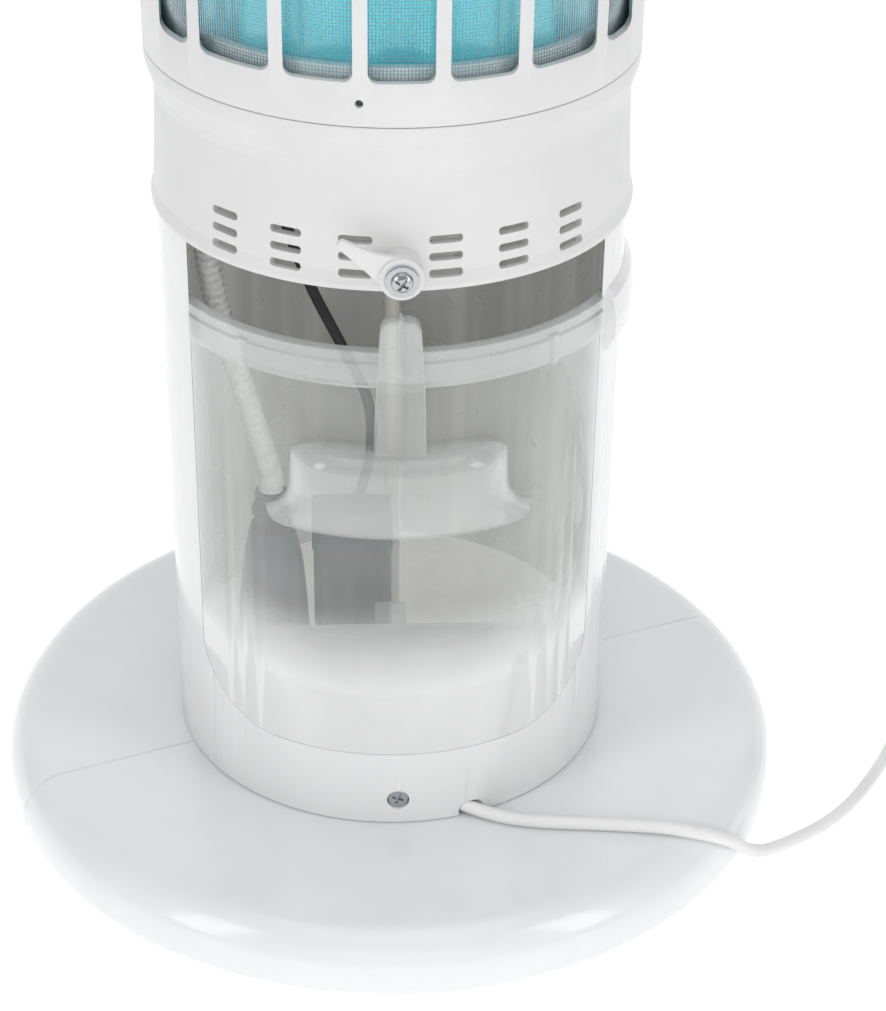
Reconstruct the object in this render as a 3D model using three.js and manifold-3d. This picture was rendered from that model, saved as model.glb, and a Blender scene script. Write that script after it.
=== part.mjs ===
// Floor-standing electric bug zapper: a two-piece disc foot, a milky column with a clear catch
// tray, a slotted fan collar with a turn latch, and a windowed head round a meshed UV lamp.
// Millimetres, +Z up. The origin is under the centre of the foot and the front is -Y.
import * as THREE from 'three';
import { mergeVertices } from 'three/addons/utils/BufferGeometryUtils.js';
import Module from 'manifold-3d';

const wasm = await Module();
wasm.setup();

// ---------- driving dimensions ----------
const GAP = 0.3;                 // between pieces that touch
const PAD_H = 2.2;               // rubber pads under the foot
const BASE_R = 167;              // disc foot
const BASE_BOTTOM = PAD_H + GAP;
const BASE_TOP = 30;
const SEAM_ANGLE = 21;           // degrees, joint line of the two half discs
const COLUMN_R_LOW = 91.5;       // outer radius of the column at the foot
const COLUMN_R_HIGH = 91.6;      // and under the collar
const COLUMN_WALL = 2.4;
const COLUMN_Z0 = BASE_TOP + GAP;
const COLUMN_Z1 = 278.6;
const WINDOW_HALF = 78.5;        // half width of the tray opening
const WINDOW_Z = 65;             // its sill
const WINDOW_CORNER = 30;
const TRAY_CLEAR = 0.5;          // running clearance round the tray
const RIM_Z = 250;               // top edge of the tray
const BAND_Z = 235;              // lower edge of its thick rim band
const BAND_R = 95.2;
const TRAY_BACK = -43;           // back wall of the tray
const TRAY_LOW_WALL = 96;        // height that its side and back walls reach
const TAB_Z = 264;               // top of the latch tab
const STEM_Z = 203;
const PULL_TOP_Z = 211;          // moulded cup pull
const PULL_LIP_Z = 176.8;
const RIB_AZIMUTH = 37.5;        // small ribs on the rim band
const CUP_R = 87.6;              // front of the cup in the tray
const CUP_BACK = -68;
const DECK_Z = 58;               // floor plate behind the tray
const COLLAR_Z0 = 274.6;
const COLLAR_Z1 = 337.6;
const COLLAR_LIP_R = 93.6;       // skirt over the top of the column
const COLLAR_TOP_R = 90.6;
const COLLAR_INNER_R = 88.4;
const SLOT_AZIMUTHS = [10.2, 26.6, 43.4];
const SLOT_HEIGHTS = [280.8, 287.2, 293.8];
const SLOT_W = 12.4;
const SLOT_H = 3.1;
const LATCH_Z = 284.6;
const LATCH_BOSS_R = 7.2;
const LATCH_BOSS_Y = -99;
const LATCH_REACH = 26.5;
const LATCH_TILT = 147;          // degrees from +X seen from the front
const RING_Z0 = 326;             // support ring inside the top of the collar
const RING_Z1 = COLLAR_Z1;
const CAGE_R = 94;
const CAGE_WALL = 2.8;
const CAGE_Z0 = RING_Z1 + GAP;
const CAGE_Z1 = 548;
// Sideways extent of the windows in one half of the cage. They are cut straight from front to back.
const CAGE_WINDOWS = [
  [-84.8, -74.2], [-69.8, -45.6], [-40.7, -16.9], [-11.7, 11.7], [16.9, 40.7], [45.6, 69.8], [74.2, 84.8]];
const CAGE_WINDOW_Z0 = 354;
const CAGE_WINDOW_Z1 = 530;
const MESH_R = 88.6;
const SLEEVE_R = 80;
const SLEEVE_FLUTES = 22;
const CAP_Z1 = 585;
const CAP_WALL = 3;
const BUTTON_Y = -44;
const HANDLE_Z = 591;
const HANDLE_HALF = 60;
const HANDLE_REACH = 62;
const CORD_R = 2.75;
const COIL_CENTRE = [282, 30];
const COIL_MIDDLE_R = 33;        // radius at the middle of the turns
const COIL_HALF_WIDTH = 8.25;
const COIL_HEIGHT = 16.5;
const COIL_Z0 = 1.3;              // the coil lies on its tie
const PLUG_X = 340;
const PLUG_Y = 34;
const ROUND = 36;                // facets round the column and collar
const HEAD_ROUND = 38;           // facets round the head, two to a window

// The cord's way from inside the foot of the column to the coil, at its centreline.
const CORD_RUN = [
  [-3.0, -69.0, 38.6], [9.0, -75.6, 37.0], [21.4, -82.0, 34.9], [33.0, -88.0, 33.5],
  [44.0, -92.6, 33.0], [56.4, -95.6, 32.95], [71.0, -97.2, 32.95], [84.0, -98.4, 32.95],
  [98.0, -100.2, 33.1], [110.5, -102.6, 33.5], [121.0, -103.4, 31.6], [130.0, -101.4, 27.6],
  [138.2, -97.2, 21.2], [145.2, -91.4, 12.6], [153.0, -85.2, 6.2], [161.6, -79.4, 3.5],
  [170.8, -73.6, 2.95], [180.8, -67.0, 2.95], [190.6, -58.6, 2.95], [200.6, -47.2, 2.95],
  [211.0, -32.4, 2.95], [220.0, -17.6, 2.95], [227.0, -3.6, 2.95], [232.6, 9.6, 3.1],
  [236.6, 22.0, 3.6],
];
const CORD_TAIL = [
  [281.0, 75.4, 11.5], [292.0, 77.0, 8.2], [304.0, 77.3, 5.0], [316.0, 77.0, 3.3], [328.0, 73.8, 3.4],
  [336.8, 65.0, 5.0], [339.7, 57.6, 6.7], [PLUG_X, 53.6, 7.2], [PLUG_X, 50.2, 7.2],
];

// ---------- materials ----------
function plastic(color, roughness, options = {}) {
  return new THREE.MeshStandardMaterial({ color, roughness, metalness: 0, ...options });
}
function metal(color, roughness) {
  return new THREE.MeshStandardMaterial({ color, roughness, metalness: 1 });
}
const MAT = {
  glossWhite: plastic(0xf4f4f2, 0.18),
  satinWhite: plastic(0xf0f0ee, 0.38),
  milky: plastic(0xdfe1de, 0.3),
  clear: plastic(0xd4dad8, 0.12, { transparent: true, opacity: 0.45 }),
  rubber: plastic(0x2b2b2c, 0.85),
  teal: plastic(0x1fa3ad, 0.2),
  aqua: plastic(0xc4dedd, 0.45),
  smoke: plastic(0x3b4142, 0.15),
  blueGrey: plastic(0x303a42, 0.5),
  darkBlueGrey: plastic(0x21272d, 0.55),
  ceramic: plastic(0xe8e4da, 0.4),
  black: plastic(0x1b1c1e, 0.5),
  zinc: metal(0xc9ccd0, 0.28),
  wire: metal(0x9aa3a6, 0.35),
  lampGlass: plastic(0xe6ecf5, 0.1),
  cord: plastic(0xf1f1ee, 0.45),
};

// ---------- geometry helpers ----------
const radians = THREE.MathUtils.degToRad;

// Merges shared corners, drops needle triangles and turns the faces outwards.
function closed(geometry) {
  const bare = geometry.clone();
  bare.deleteAttribute('normal');
  bare.deleteAttribute('uv');
  const merged = mergeVertices(bare, 1e-4);
  const position = merged.attributes.position;
  const kept = [];
  let volume = 0;
  const [a, b, c] = [new THREE.Vector3(), new THREE.Vector3(), new THREE.Vector3()];
  for (let i = 0; i < merged.index.count; i += 3) {
    const corners = [0, 1, 2].map((k) => merged.index.getX(i + k));
    if (new Set(corners).size < 3) continue;
    kept.push(corners);
    a.fromBufferAttribute(position, corners[0]);
    b.fromBufferAttribute(position, corners[1]);
    c.fromBufferAttribute(position, corners[2]);
    volume += a.dot(b.cross(c));
  }
  const faces = volume < 0 ? kept.map(([p, q, r]) => [p, r, q]) : kept;
  const result = new THREE.BufferGeometry();
  result.setAttribute('position', position.clone());
  result.setIndex(faces.flat());
  return result;
}

function solid(geometry) {
  const mesh = closed(geometry);
  return new wasm.Manifold(new wasm.Mesh({
    numProp: 3,
    vertProperties: new Float32Array(mesh.attributes.position.array),
    triVerts: new Uint32Array(mesh.index.array),
  }));
}

function geometryOf(manifold) {
  const mesh = manifold.getMesh();
  const result = new THREE.BufferGeometry();
  result.setAttribute('position', new THREE.BufferAttribute(new Float32Array(mesh.vertProperties), 3));
  result.setIndex(Array.from(mesh.triVerts));
  return result;
}

function join(...solids) {
  return solids.reduce((sum, next) => sum.add(next));
}

function cut(body, ...tools) {
  return tools.reduce((rest, tool) => rest.subtract(tool), body);
}

// Revolves a closed [radius, z] outline, or one whose ends lie on the axis, about Z.
function revolved(outline, segments = 72) {
  const points = outline.map(([r, z]) => new THREE.Vector2(r, z));
  if (outline[0][0] > 0) points.push(points[0].clone());
  return new THREE.LatheGeometry(points, segments).rotateX(Math.PI / 2);
}

// Extrudes an XY outline from z0 to z1.
function prism(shape, z0, z1, curveSegments = 6) {
  const options = { depth: z1 - z0, bevelEnabled: false, curveSegments };
  return new THREE.ExtrudeGeometry(shape, options).translate(0, 0, z0);
}

// Extrudes an outline drawn in X and Z from y0 (front) to y1 (back).
function frontPrism(shape, y0, y1, curveSegments = 6) {
  const options = { depth: y1 - y0, bevelEnabled: false, curveSegments };
  return new THREE.ExtrudeGeometry(shape, options).rotateX(Math.PI / 2).translate(0, y1, 0);
}

function roundedRect(x0, y0, x1, y1, r) {
  const shape = new THREE.Shape();
  shape.moveTo(x0 + r, y0);
  shape.lineTo(x1 - r, y0);
  shape.absarc(x1 - r, y0 + r, r, -Math.PI / 2, 0, false);
  shape.lineTo(x1, y1 - r);
  shape.absarc(x1 - r, y1 - r, r, 0, Math.PI / 2, false);
  shape.lineTo(x0 + r, y1);
  shape.absarc(x0 + r, y1 - r, r, Math.PI / 2, Math.PI, false);
  shape.lineTo(x0, y0 + r);
  shape.absarc(x0 + r, y0 + r, r, Math.PI, Math.PI * 1.5, false);
  return shape;
}

function polygon(points) {
  return new THREE.Shape(points.map(([x, y]) => new THREE.Vector2(x, y)));
}

function disc(radius, z0, z1, segments = 32) {
  return new THREE.CylinderGeometry(radius, radius, z1 - z0, segments)
    .rotateX(Math.PI / 2).translate(0, 0, (z0 + z1) / 2);
}

// A round bar along Y, centred on x and z.
function barAlongY(radius, x, z, y0, y1, segments = 24) {
  return new THREE.CylinderGeometry(radius, radius, y1 - y0, segments).translate(x, (y0 + y1) / 2, z);
}

function barAlongX(radius, y, z, x0, x1, segments = 20) {
  return new THREE.CylinderGeometry(radius, radius, x1 - x0, segments)
    .rotateZ(Math.PI / 2).translate((x0 + x1) / 2, y, z);
}

function box(x0, y0, z0, x1, y1, z1) {
  return new THREE.BoxGeometry(x1 - x0, y1 - y0, z1 - z0)
    .translate((x0 + x1) / 2, (y0 + y1) / 2, (z0 + z1) / 2);
}

// Joins equal rings of points into a closed skin; each ring lies in a level plane.
function loft(rings) {
  const count = rings[0].length;
  const position = rings.flat().flatMap((p) => [p.x, p.y, p.z]);
  const index = [];
  for (let level = 0; level + 1 < rings.length; level += 1) {
    for (let i = 0; i < count; i += 1) {
      const [a, b] = [level * count + i, level * count + (i + 1) % count];
      index.push(a, b, b + count, a, b + count, a + count);
    }
  }
  const capAt = (ring, offset, flip) => {
    const flat = ring.map((p) => new THREE.Vector2(p.x, p.y));
    for (const [p, q, r] of THREE.ShapeUtils.triangulateShape(flat, [])) {
      index.push(offset + p, offset + (flip ? r : q), offset + (flip ? q : r));
    }
  };
  capAt(rings[0], 0, true);
  capAt(rings[rings.length - 1], (rings.length - 1) * count, false);
  const result = new THREE.BufferGeometry();
  result.setAttribute('position', new THREE.Float32BufferAttribute(position, 3));
  result.setIndex(index);
  return result;
}

function tubeAlong(points, radius, sides, steps) {
  const path = new THREE.CatmullRomCurve3(points.map((p) => new THREE.Vector3(...p)));
  const section = new THREE.Shape();
  for (let i = 0; i < sides; i += 1) {
    const angle = (i / sides) * Math.PI * 2;
    const method = i === 0 ? 'moveTo' : 'lineTo';
    section[method](radius * Math.cos(angle), radius * Math.sin(angle));
  }
  return new THREE.ExtrudeGeometry(section, { steps, extrudePath: path, bevelEnabled: false });
}

const model = new THREE.Group();

function place(name, geometry, material, parent = model) {
  const shape = geometry.isBufferGeometry ? closed(geometry) : geometryOf(geometry);
  shape.computeVertexNormals();
  const mesh = new THREE.Mesh(shape, material);
  mesh.name = name;
  parent.add(mesh);
  return mesh;
}

// ---------- disc foot ----------
// Flat top, broad rounded shoulder and a small rounding at the floor.
function footOutline() {
  const shoulder = 17;
  const heel = 5;
  const outline = [[0, BASE_BOTTOM], [BASE_R - heel, BASE_BOTTOM]];
  for (let i = 1; i <= 2; i += 1) {
    const angle = radians(-90 + 45 * i);
    outline.push([BASE_R - heel + heel * Math.cos(angle), BASE_BOTTOM + heel + heel * Math.sin(angle)]);
  }
  for (let i = 0; i <= 4; i += 1) {
    const angle = radians(22.5 * i);
    outline.push([BASE_R - shoulder + shoulder * Math.cos(angle), BASE_TOP - shoulder + shoulder * Math.sin(angle)]);
  }
  outline.push([0, BASE_TOP]);
  return outline;
}

const JOINER_HALF = [62, 30];
const JOINER_Z = 4;

function buildFoot() {
  const whole = solid(revolved(footOutline(), 48));
  const pocket = solid(box(-JOINER_HALF[0], -JOINER_HALF[1], 0, JOINER_HALF[0], JOINER_HALF[1], BASE_BOTTOM + JOINER_Z));
  const pocketTurned = pocket.rotate([0, 0, SEAM_ANGLE]);
  const footSolid = cut(whole, pocketTurned);
  const reach = BASE_R + 20;
  const halfGap = 0.2;
  const frontSpace = solid(box(-reach, -reach, -5, reach, -halfGap, 60)).rotate([0, 0, SEAM_ANGLE]);
  const rearSpace = solid(box(-reach, halfGap, -5, reach, reach, 60)).rotate([0, 0, SEAM_ANGLE]);
  place('base_half_front', footSolid.intersect(frontSpace), MAT.glossWhite);
  place('base_half_rear', footSolid.intersect(rearSpace), MAT.glossWhite);

  const plate = roundedRect(-JOINER_HALF[0] + 1, -JOINER_HALF[1] + 1, JOINER_HALF[0] - 1, JOINER_HALF[1] - 1, 6);
  const plateTop = BASE_BOTTOM + JOINER_Z - GAP;
  place('base_joiner_plate', prism(plate, plateTop - 2.5, plateTop), MAT.zinc).rotation.z = radians(SEAM_ANGLE);

  const padSpots = 5;
  for (let i = 0; i < padSpots; i += 1) {
    const angle = radians(SEAM_ANGLE + 90 + (i * 360) / padSpots);
    const pad = place(`rubber_pad_${i + 1}`, disc(11, 0, PAD_H, 14), MAT.rubber);
    pad.position.set(138 * Math.cos(angle), 138 * Math.sin(angle), 0);
  }
}

// ---------- column ----------
function columnRadius(z) {
  return COLUMN_R_LOW + ((COLUMN_R_HIGH - COLUMN_R_LOW) * (z - COLUMN_Z0)) / (COLUMN_Z1 - COLUMN_Z0);
}

// The tray opening: straight sides, rounded lower corners, open at the top.
function openingShape(inset, top) {
  const half = WINDOW_HALF - inset;
  const sill = WINDOW_Z + inset;
  const corner = WINDOW_CORNER - inset;
  const shape = new THREE.Shape();
  shape.moveTo(half, top);
  shape.lineTo(-half, top);
  shape.lineTo(-half, sill + corner);
  shape.absarc(-half + corner, sill + corner, corner, Math.PI, Math.PI * 1.5, false);
  shape.lineTo(half - corner, sill);
  shape.absarc(half - corner, sill + corner, corner, -Math.PI / 2, 0, false);
  return shape;
}

// The cord leaves the wall at a slant, so its slot runs along the cord.
const CORD_SLOT = { x: 22, y: -82.3, azimuth: 64.5, halfWidth: 3.8, top: 6.8 };
const LUG = { z0: 222, z1: 250, reach: 4.4, azimuths: [62, 104] };

function buildColumn() {
  const wall = COLUMN_WALL;
  const shellOutline = [
    [columnRadius(COLUMN_Z0) - 10, COLUMN_Z0], [columnRadius(COLUMN_Z0), COLUMN_Z0],
    [columnRadius(COLUMN_Z1), COLUMN_Z1], [columnRadius(COLUMN_Z1) - wall, COLUMN_Z1],
    [columnRadius(COLUMN_Z0) - wall, COLUMN_Z0 + 3], [columnRadius(COLUMN_Z0) - 10, COLUMN_Z0 + 3],
  ];
  const shell = solid(revolved(shellOutline, ROUND));
  const opening = solid(frontPrism(openingShape(0, COLUMN_Z1 + 20), -120, -30, 10));
  const { halfWidth, top } = CORD_SLOT;
  const cordSlot = solid(frontPrism(roundedRect(-halfWidth, COLUMN_Z0 - 6, halfWidth, COLUMN_Z0 + top, 3.4), -26, 12, 4))
    .rotate([0, 0, CORD_SLOT.azimuth]).translate([CORD_SLOT.x, CORD_SLOT.y, 0]);
  const screwSink = solid(barAlongY(4.6, 0, 42, -100, -87.8, 16));
  const screwBoss = solid(barAlongY(6.5, 0, 42, -89.9, -84, 16));
  const screwBore = solid(barAlongY(2, 0, 42, -100, -80, 12));
  const lugR = columnRadius(LUG.z1);
  const lugRing = solid(revolved([
    [lugR - 1.5, LUG.z0], [lugR, LUG.z0], [lugR + LUG.reach, LUG.z0 + 7], [lugR + LUG.reach, LUG.z1 - 12],
    [lugR + LUG.reach * 0.7, LUG.z1 - 4], [lugR, LUG.z1], [lugR - 1.5, LUG.z1]], ROUND));
  const [lugFrom, lugTo] = LUG.azimuths.map((azimuth) => radians(azimuth));
  const wedge = solid(prism(polygon([[0, 0], [140 * Math.sin(lugFrom), -140 * Math.cos(lugFrom)],
    [140, 0], [140 * Math.sin(lugTo), -140 * Math.cos(lugTo)]]), LUG.z0 - 1, LUG.z1 + 1));
  const lug = lugRing.intersect(wedge);
  place('column_shell', cut(join(shell, screwBoss, lug), opening, cordSlot, screwSink, screwBore), MAT.milky);

  // Countersunk cross screw low on the front.
  const head = solid(new THREE.CylinderGeometry(1.7, 4.2, 2.6, 16));
  const shank = solid(barAlongY(1.6, 0, 0, 0, 5.2, 16));
  const crossA = solid(box(-2.6, -2.4, -0.5, 2.6, -0.6, 0.5));
  const crossB = solid(box(-0.5, -2.4, -2.6, 0.5, -0.6, 2.6));
  const screw = cut(join(head, shank), crossA, crossB);
  place('front_screw', screw, MAT.zinc).position.set(0, -89.3, 42);

  // Floor plate behind the tray, on three legs.
  const deckShape = new THREE.Shape();
  const deckR = 88;
  const deckFront = TRAY_BACK + 4;
  const half = Math.acos(-deckFront / deckR);
  deckShape.absarc(0, 0, deckR, -Math.PI / 2 + half, Math.PI * 1.5 - half, false);
  const deck = solid(prism(deckShape, DECK_Z, DECK_Z + 2, 24));
  const legs = [[0, 70], [-64, -16], [64, -16]].map(([x, y]) => solid(disc(5, COLUMN_Z0 + 3.4, DECK_Z + 0.5, 16)
    .translate(x, y, 0)));
  place('deck_plate', join(deck, ...legs), MAT.satinWhite);

  // Smoked liner round the back of the column.
  const liner = solid(revolved([[84, DECK_Z + 2.4], [86, DECK_Z + 2.4], [86, 272], [84, 272]], ROUND));
  const keep = solid(box(-95, -8, 0, 95, 95, 300));
  place('rear_liner', liner.intersect(keep), MAT.smoke);
}

// ---------- catch tray, slides forward ----------
function pullRing(z, halfWidth, depth, inset) {
  const squareness = z > PULL_LIP_Z + 12 ? 8 : 8 + 1.3 * (PULL_LIP_Z + 12 - z);
  const count = 16;
  const a = halfWidth - inset;
  const ring = [];
  for (let i = 0; i <= count; i += 1) {
    const angle = Math.PI * (1 - i / count);
    const x = a * Math.cos(angle);
    const bulge = Math.max(depth - inset, 0) * (1 - Math.abs(Math.cos(angle)) ** squareness) ** 0.55;
    const surface = Math.sqrt(columnRadius(z) ** 2 - x * x);
    ring.push(new THREE.Vector3(x, -(surface + bulge), z));
  }
  const inner = inset > 0 ? 0.05 : 1.2;
  for (let i = count - 1; i > 0; i -= 1) {
    const x = a * Math.cos(Math.PI * (1 - i / count));
    ring.push(new THREE.Vector3(x, -Math.sqrt(columnRadius(z) ** 2 - x * x) + inner, z));
  }
  return ring;
}

// [z, half width, depth] down the pull: sloping top, ridge, upright face, flared lip.
const PULL_LEVELS = [
  [PULL_TOP_Z, 27, 0.6], [PULL_TOP_Z - 1.8, 33.5, 4.5], [PULL_TOP_Z - 4, 38, 9], [PULL_TOP_Z - 6.6, 40.4, 11.9],
  [PULL_TOP_Z - 11, 41.3, 12.8], [PULL_LIP_Z + 11, 42, 13], [PULL_LIP_Z + 6.4, 43.8, 13],
  [PULL_LIP_Z + 3.2, 46.6, 13.1], [PULL_LIP_Z + 1, 49.6, 13.4], [PULL_LIP_Z, 51, 13.7],
];

function buildTray(tray) {
  const inset = TRAY_CLEAR;
  const sill = WINDOW_Z + inset;
  const ringOf = (rIn, rOut, z0, z1) => solid(revolved([[rIn, z0], [rOut, z0], [rOut, z1], [rIn, z1]], ROUND));
  const facade = solid(revolved([
    [columnRadius(sill) - COLUMN_WALL, sill], [columnRadius(sill), sill],
    [columnRadius(RIM_Z) + 0.2, RIM_Z], [columnRadius(RIM_Z) - COLUMN_WALL, RIM_Z]], ROUND));
  const band = ringOf(columnRadius(BAND_Z) - 1, BAND_R, BAND_Z, RIM_Z - 4);
  const bead = ringOf(columnRadius(BAND_Z) - 1, BAND_R - 1, RIM_Z - 4.2, RIM_Z);
  const frame = solid(frontPrism(openingShape(inset, RIM_Z + 1), -120, -40, 10));
  const ribs = [-1, 1].map((side) => solid(box(-2, -BAND_R - 0.8, BAND_Z, 2, -92, RIM_Z - 3))
    .rotate([0, 0, side * RIB_AZIMUTH]));
  let body = join(facade, band, bead, ...ribs).intersect(frame);

  // Floor and low walls of the bin behind the front.
  const halfIn = WINDOW_HALF - inset - 2;
  const innerR = columnRadius(sill) - COLUMN_WALL + 0.4;
  const floorSpan = WINDOW_HALF - WINDOW_CORNER + 4;
  const floorShape = new THREE.Shape();
  const cornerX = Math.min(floorSpan, halfIn);
  floorShape.moveTo(cornerX, TRAY_BACK);
  floorShape.lineTo(-cornerX, TRAY_BACK);
  const sweep = Math.asin(cornerX / innerR);
  floorShape.absarc(0, 0, innerR, -Math.PI / 2 - sweep, -Math.PI / 2 + sweep, false);
  const floor = solid(prism(floorShape, sill, sill + 2.2, 24));
  const backShape = openingShape(inset, TRAY_LOW_WALL);
  const back = solid(frontPrism(backShape, TRAY_BACK - 2, TRAY_BACK, 10));
  const trough = cut(
    solid(frontPrism(openingShape(inset, TRAY_LOW_WALL), -120, TRAY_BACK, 10)),
    solid(frontPrism(openingShape(inset + 2, TRAY_LOW_WALL + 9), -130, TRAY_BACK + 9, 10)));
  const within = solid(disc(innerR, sill - 1, TRAY_LOW_WALL + 1, ROUND));
  body = join(body, floor, back, trough.intersect(within));

  // Latch tab with its stem, central fin and cup pull.
  const tab = new THREE.Shape();
  const [tabHalf, stemHalf, corner] = [7.6, 9.8, 5];
  tab.moveTo(stemHalf, STEM_Z + corner);
  tab.lineTo(stemHalf - 0.6, 236);
  tab.lineTo(tabHalf, TAB_Z - corner);
  tab.absarc(tabHalf - corner, TAB_Z - corner, corner, 0, Math.PI / 2, false);
  tab.absarc(corner - tabHalf, TAB_Z - corner, corner, Math.PI / 2, Math.PI, false);
  tab.lineTo(0.6 - stemHalf, 236);
  tab.lineTo(-stemHalf, STEM_Z + corner);
  tab.absarc(corner - stemHalf, STEM_Z + corner, corner, Math.PI, Math.PI * 1.5, false);
  tab.absarc(stemHalf - corner, STEM_Z + corner, corner, -Math.PI / 2, 0, false);
  const tabPlate = solid(frontPrism(tab, -97.4, -90.6, 8));
  const fin = solid(frontPrism(roundedRect(-0.9, PULL_LIP_Z + 6, 0.9, TAB_Z + 1.6, 0.85), -98.6, -91.2, 4));
  const pullOuter = solid(loft(PULL_LEVELS.map(([z, w, d]) => pullRing(z, w, d, 0)).reverse()));
  const hollow = PULL_LEVELS.slice(2, -1).map(([z, w, d]) => pullRing(z, w, d, 2));
  const [lastZ, lastW, lastD] = PULL_LEVELS[PULL_LEVELS.length - 1];
  hollow.push(pullRing(lastZ - 1, lastW, lastD, 1.8));
  const pullInner = solid(loft(hollow.reverse()));
  body = cut(join(body, tabPlate, pullOuter), pullInner);
  body = join(body, fin);

  place('catch_tray', body, MAT.clear, tray);

  // White cup that stands in the bin, curved along the front.
  const cupZ = sill + 2.2 + GAP;
  const cupOuter = solid(prism(roundedRect(-33, -100, 33, CUP_BACK, 5), cupZ, 98, 5))
    .intersect(solid(disc(CUP_R, cupZ - 1, 99, ROUND)));
  const cupInner = solid(prism(roundedRect(-31, -100, 31, CUP_BACK - 2, 3.5), cupZ + 2, 110, 5))
    .intersect(solid(disc(CUP_R - 2, cupZ, 120, ROUND)));
  place('catch_cup', cut(cupOuter, cupInner), MAT.satinWhite, tray);
}

// ---------- things inside the column ----------
const PUMP_X = -50;
const PUMP_Y = -20;

function buildInterior() {
  const deckTop = DECK_Z + 2 + GAP;
  const taper = [[0, 15, 12], [14, 15, 12], [52, 12.5, 11], [70, 9, 9]];
  const rings = taper.map(([h, a, b]) => Array.from({ length: 20 }, (_, i) => {
    const angle = (i / 20) * Math.PI * 2;
    const square = (v) => Math.sign(v) * Math.abs(v) ** 0.6;
    return new THREE.Vector3(a * square(Math.cos(angle)), b * square(Math.sin(angle)), deckTop + h);
  }));
  place('lure_canister', loft(rings), MAT.blueGrey).position.set(PUMP_X, PUMP_Y, 0);
  const neckZ = deckTop + 70 + GAP;
  const neck = [
    [0, neckZ], [6.6, neckZ], [6.6, neckZ + 6], [8, neckZ + 6.6], [8, neckZ + 9.4], [6.8, neckZ + 10],
    [6.6, neckZ + 17], [0, neckZ + 17]];
  place('hose_coupling', revolved(neck, 24), MAT.darkBlueGrey).position.set(PUMP_X, PUMP_Y, 0);
  const hoseStart = neckZ + 17 + 2 * GAP;
  place('lure_hose', tubeAlong([
    [PUMP_X, PUMP_Y, hoseStart], [PUMP_X, PUMP_Y, hoseStart + 8], [PUMP_X - 8, PUMP_Y + 1, 188],
    [PUMP_X - 18, PUMP_Y + 3, 225], [PUMP_X - 23, PUMP_Y + 5, 255], [PUMP_X - 24, PUMP_Y + 6, 276],
  ], 5, 8, 12), MAT.ceramic);

  const driver = solid(prism(roundedRect(-33, -34, -1, 4, 2.5), deckTop, 126, 4));
  place('driver_box', driver, MAT.darkBlueGrey);
  const lid = solid(prism(roundedRect(-33.6, -34.6, -0.4, 4.6, 3), 126 + GAP, 130, 4));
  place('driver_lid', lid, MAT.blueGrey);
  place('lamp_lead', tubeAlong([
    [-14, -12, 130 + 2 * GAP], [-14, -12, 138], [-9, -8, 158], [-10, -4, 180], [-20, -3, 204], [-32, -2, 230],
    [-41, 0, 255], [-46, 2, 276]], 2.2, 6, 12), MAT.black);
  place('support_post', disc(3.4, deckTop, 285, 16), MAT.ceramic).position.set(1, 26, 0);
  place('sight_tab', frontPrism(roundedRect(-8, deckTop, 5, 102, 1.2), -37.4, -35.6, 3), MAT.clear);
}

// ---------- fan collar with its turn latch ----------
function slotTool(azimuth, z) {
  const shape = roundedRect(-SLOT_W / 2, z - SLOT_H / 2, SLOT_W / 2, z + SLOT_H / 2, SLOT_H / 2 - 0.01);
  return solid(frontPrism(shape, -104, -80, 1)).rotate([0, 0, azimuth]);
}

function buildCollar() {
  const shell = solid(revolved([
    [COLLAR_LIP_R - 1.7, COLLAR_Z0], [COLLAR_LIP_R - 0.4, COLLAR_Z0], [COLLAR_LIP_R, COLLAR_Z0 + 0.6],
    [COLLAR_LIP_R, COLLAR_Z0 + 2], [92.4, COLLAR_Z0 + 6.4], [91.4, 300],
    [COLLAR_TOP_R, 319], [91.1, 323], [92.6, 328], [93.7, 331.4], [CAGE_R, 334], [CAGE_R, COLLAR_Z1],
    [COLLAR_INNER_R, COLLAR_Z1], [COLLAR_INNER_R, COLLAR_Z0 + 5.2], [COLLAR_LIP_R - 1.7, COLLAR_Z0 + 4.3],
  ], ROUND));
  const slots = [];
  for (const side of [-1, 1]) {
    for (const azimuth of SLOT_AZIMUTHS) {
      for (const z of SLOT_HEIGHTS) {
        slots.push(slotTool(side * azimuth, z));
      }
    }
  }
  const boss = solid(barAlongY(LATCH_BOSS_R, 0, LATCH_Z, LATCH_BOSS_Y, -90, 28));
  const bore = solid(barAlongY(2.3, 0, LATCH_Z, LATCH_BOSS_Y - 1, -80, 20));
  const relief = solid(disc(COLLAR_INNER_R, COLLAR_Z0 + 5.2, 300, ROUND));
  const tunnel = solid(disc(COLLAR_LIP_R - 1.7, COLLAR_Z0 - 5, COLLAR_Z0 + 4.3, ROUND));
  place('collar', cut(join(cut(shell, ...slots), boss), bore, relief, tunnel), MAT.satinWhite);
}

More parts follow.
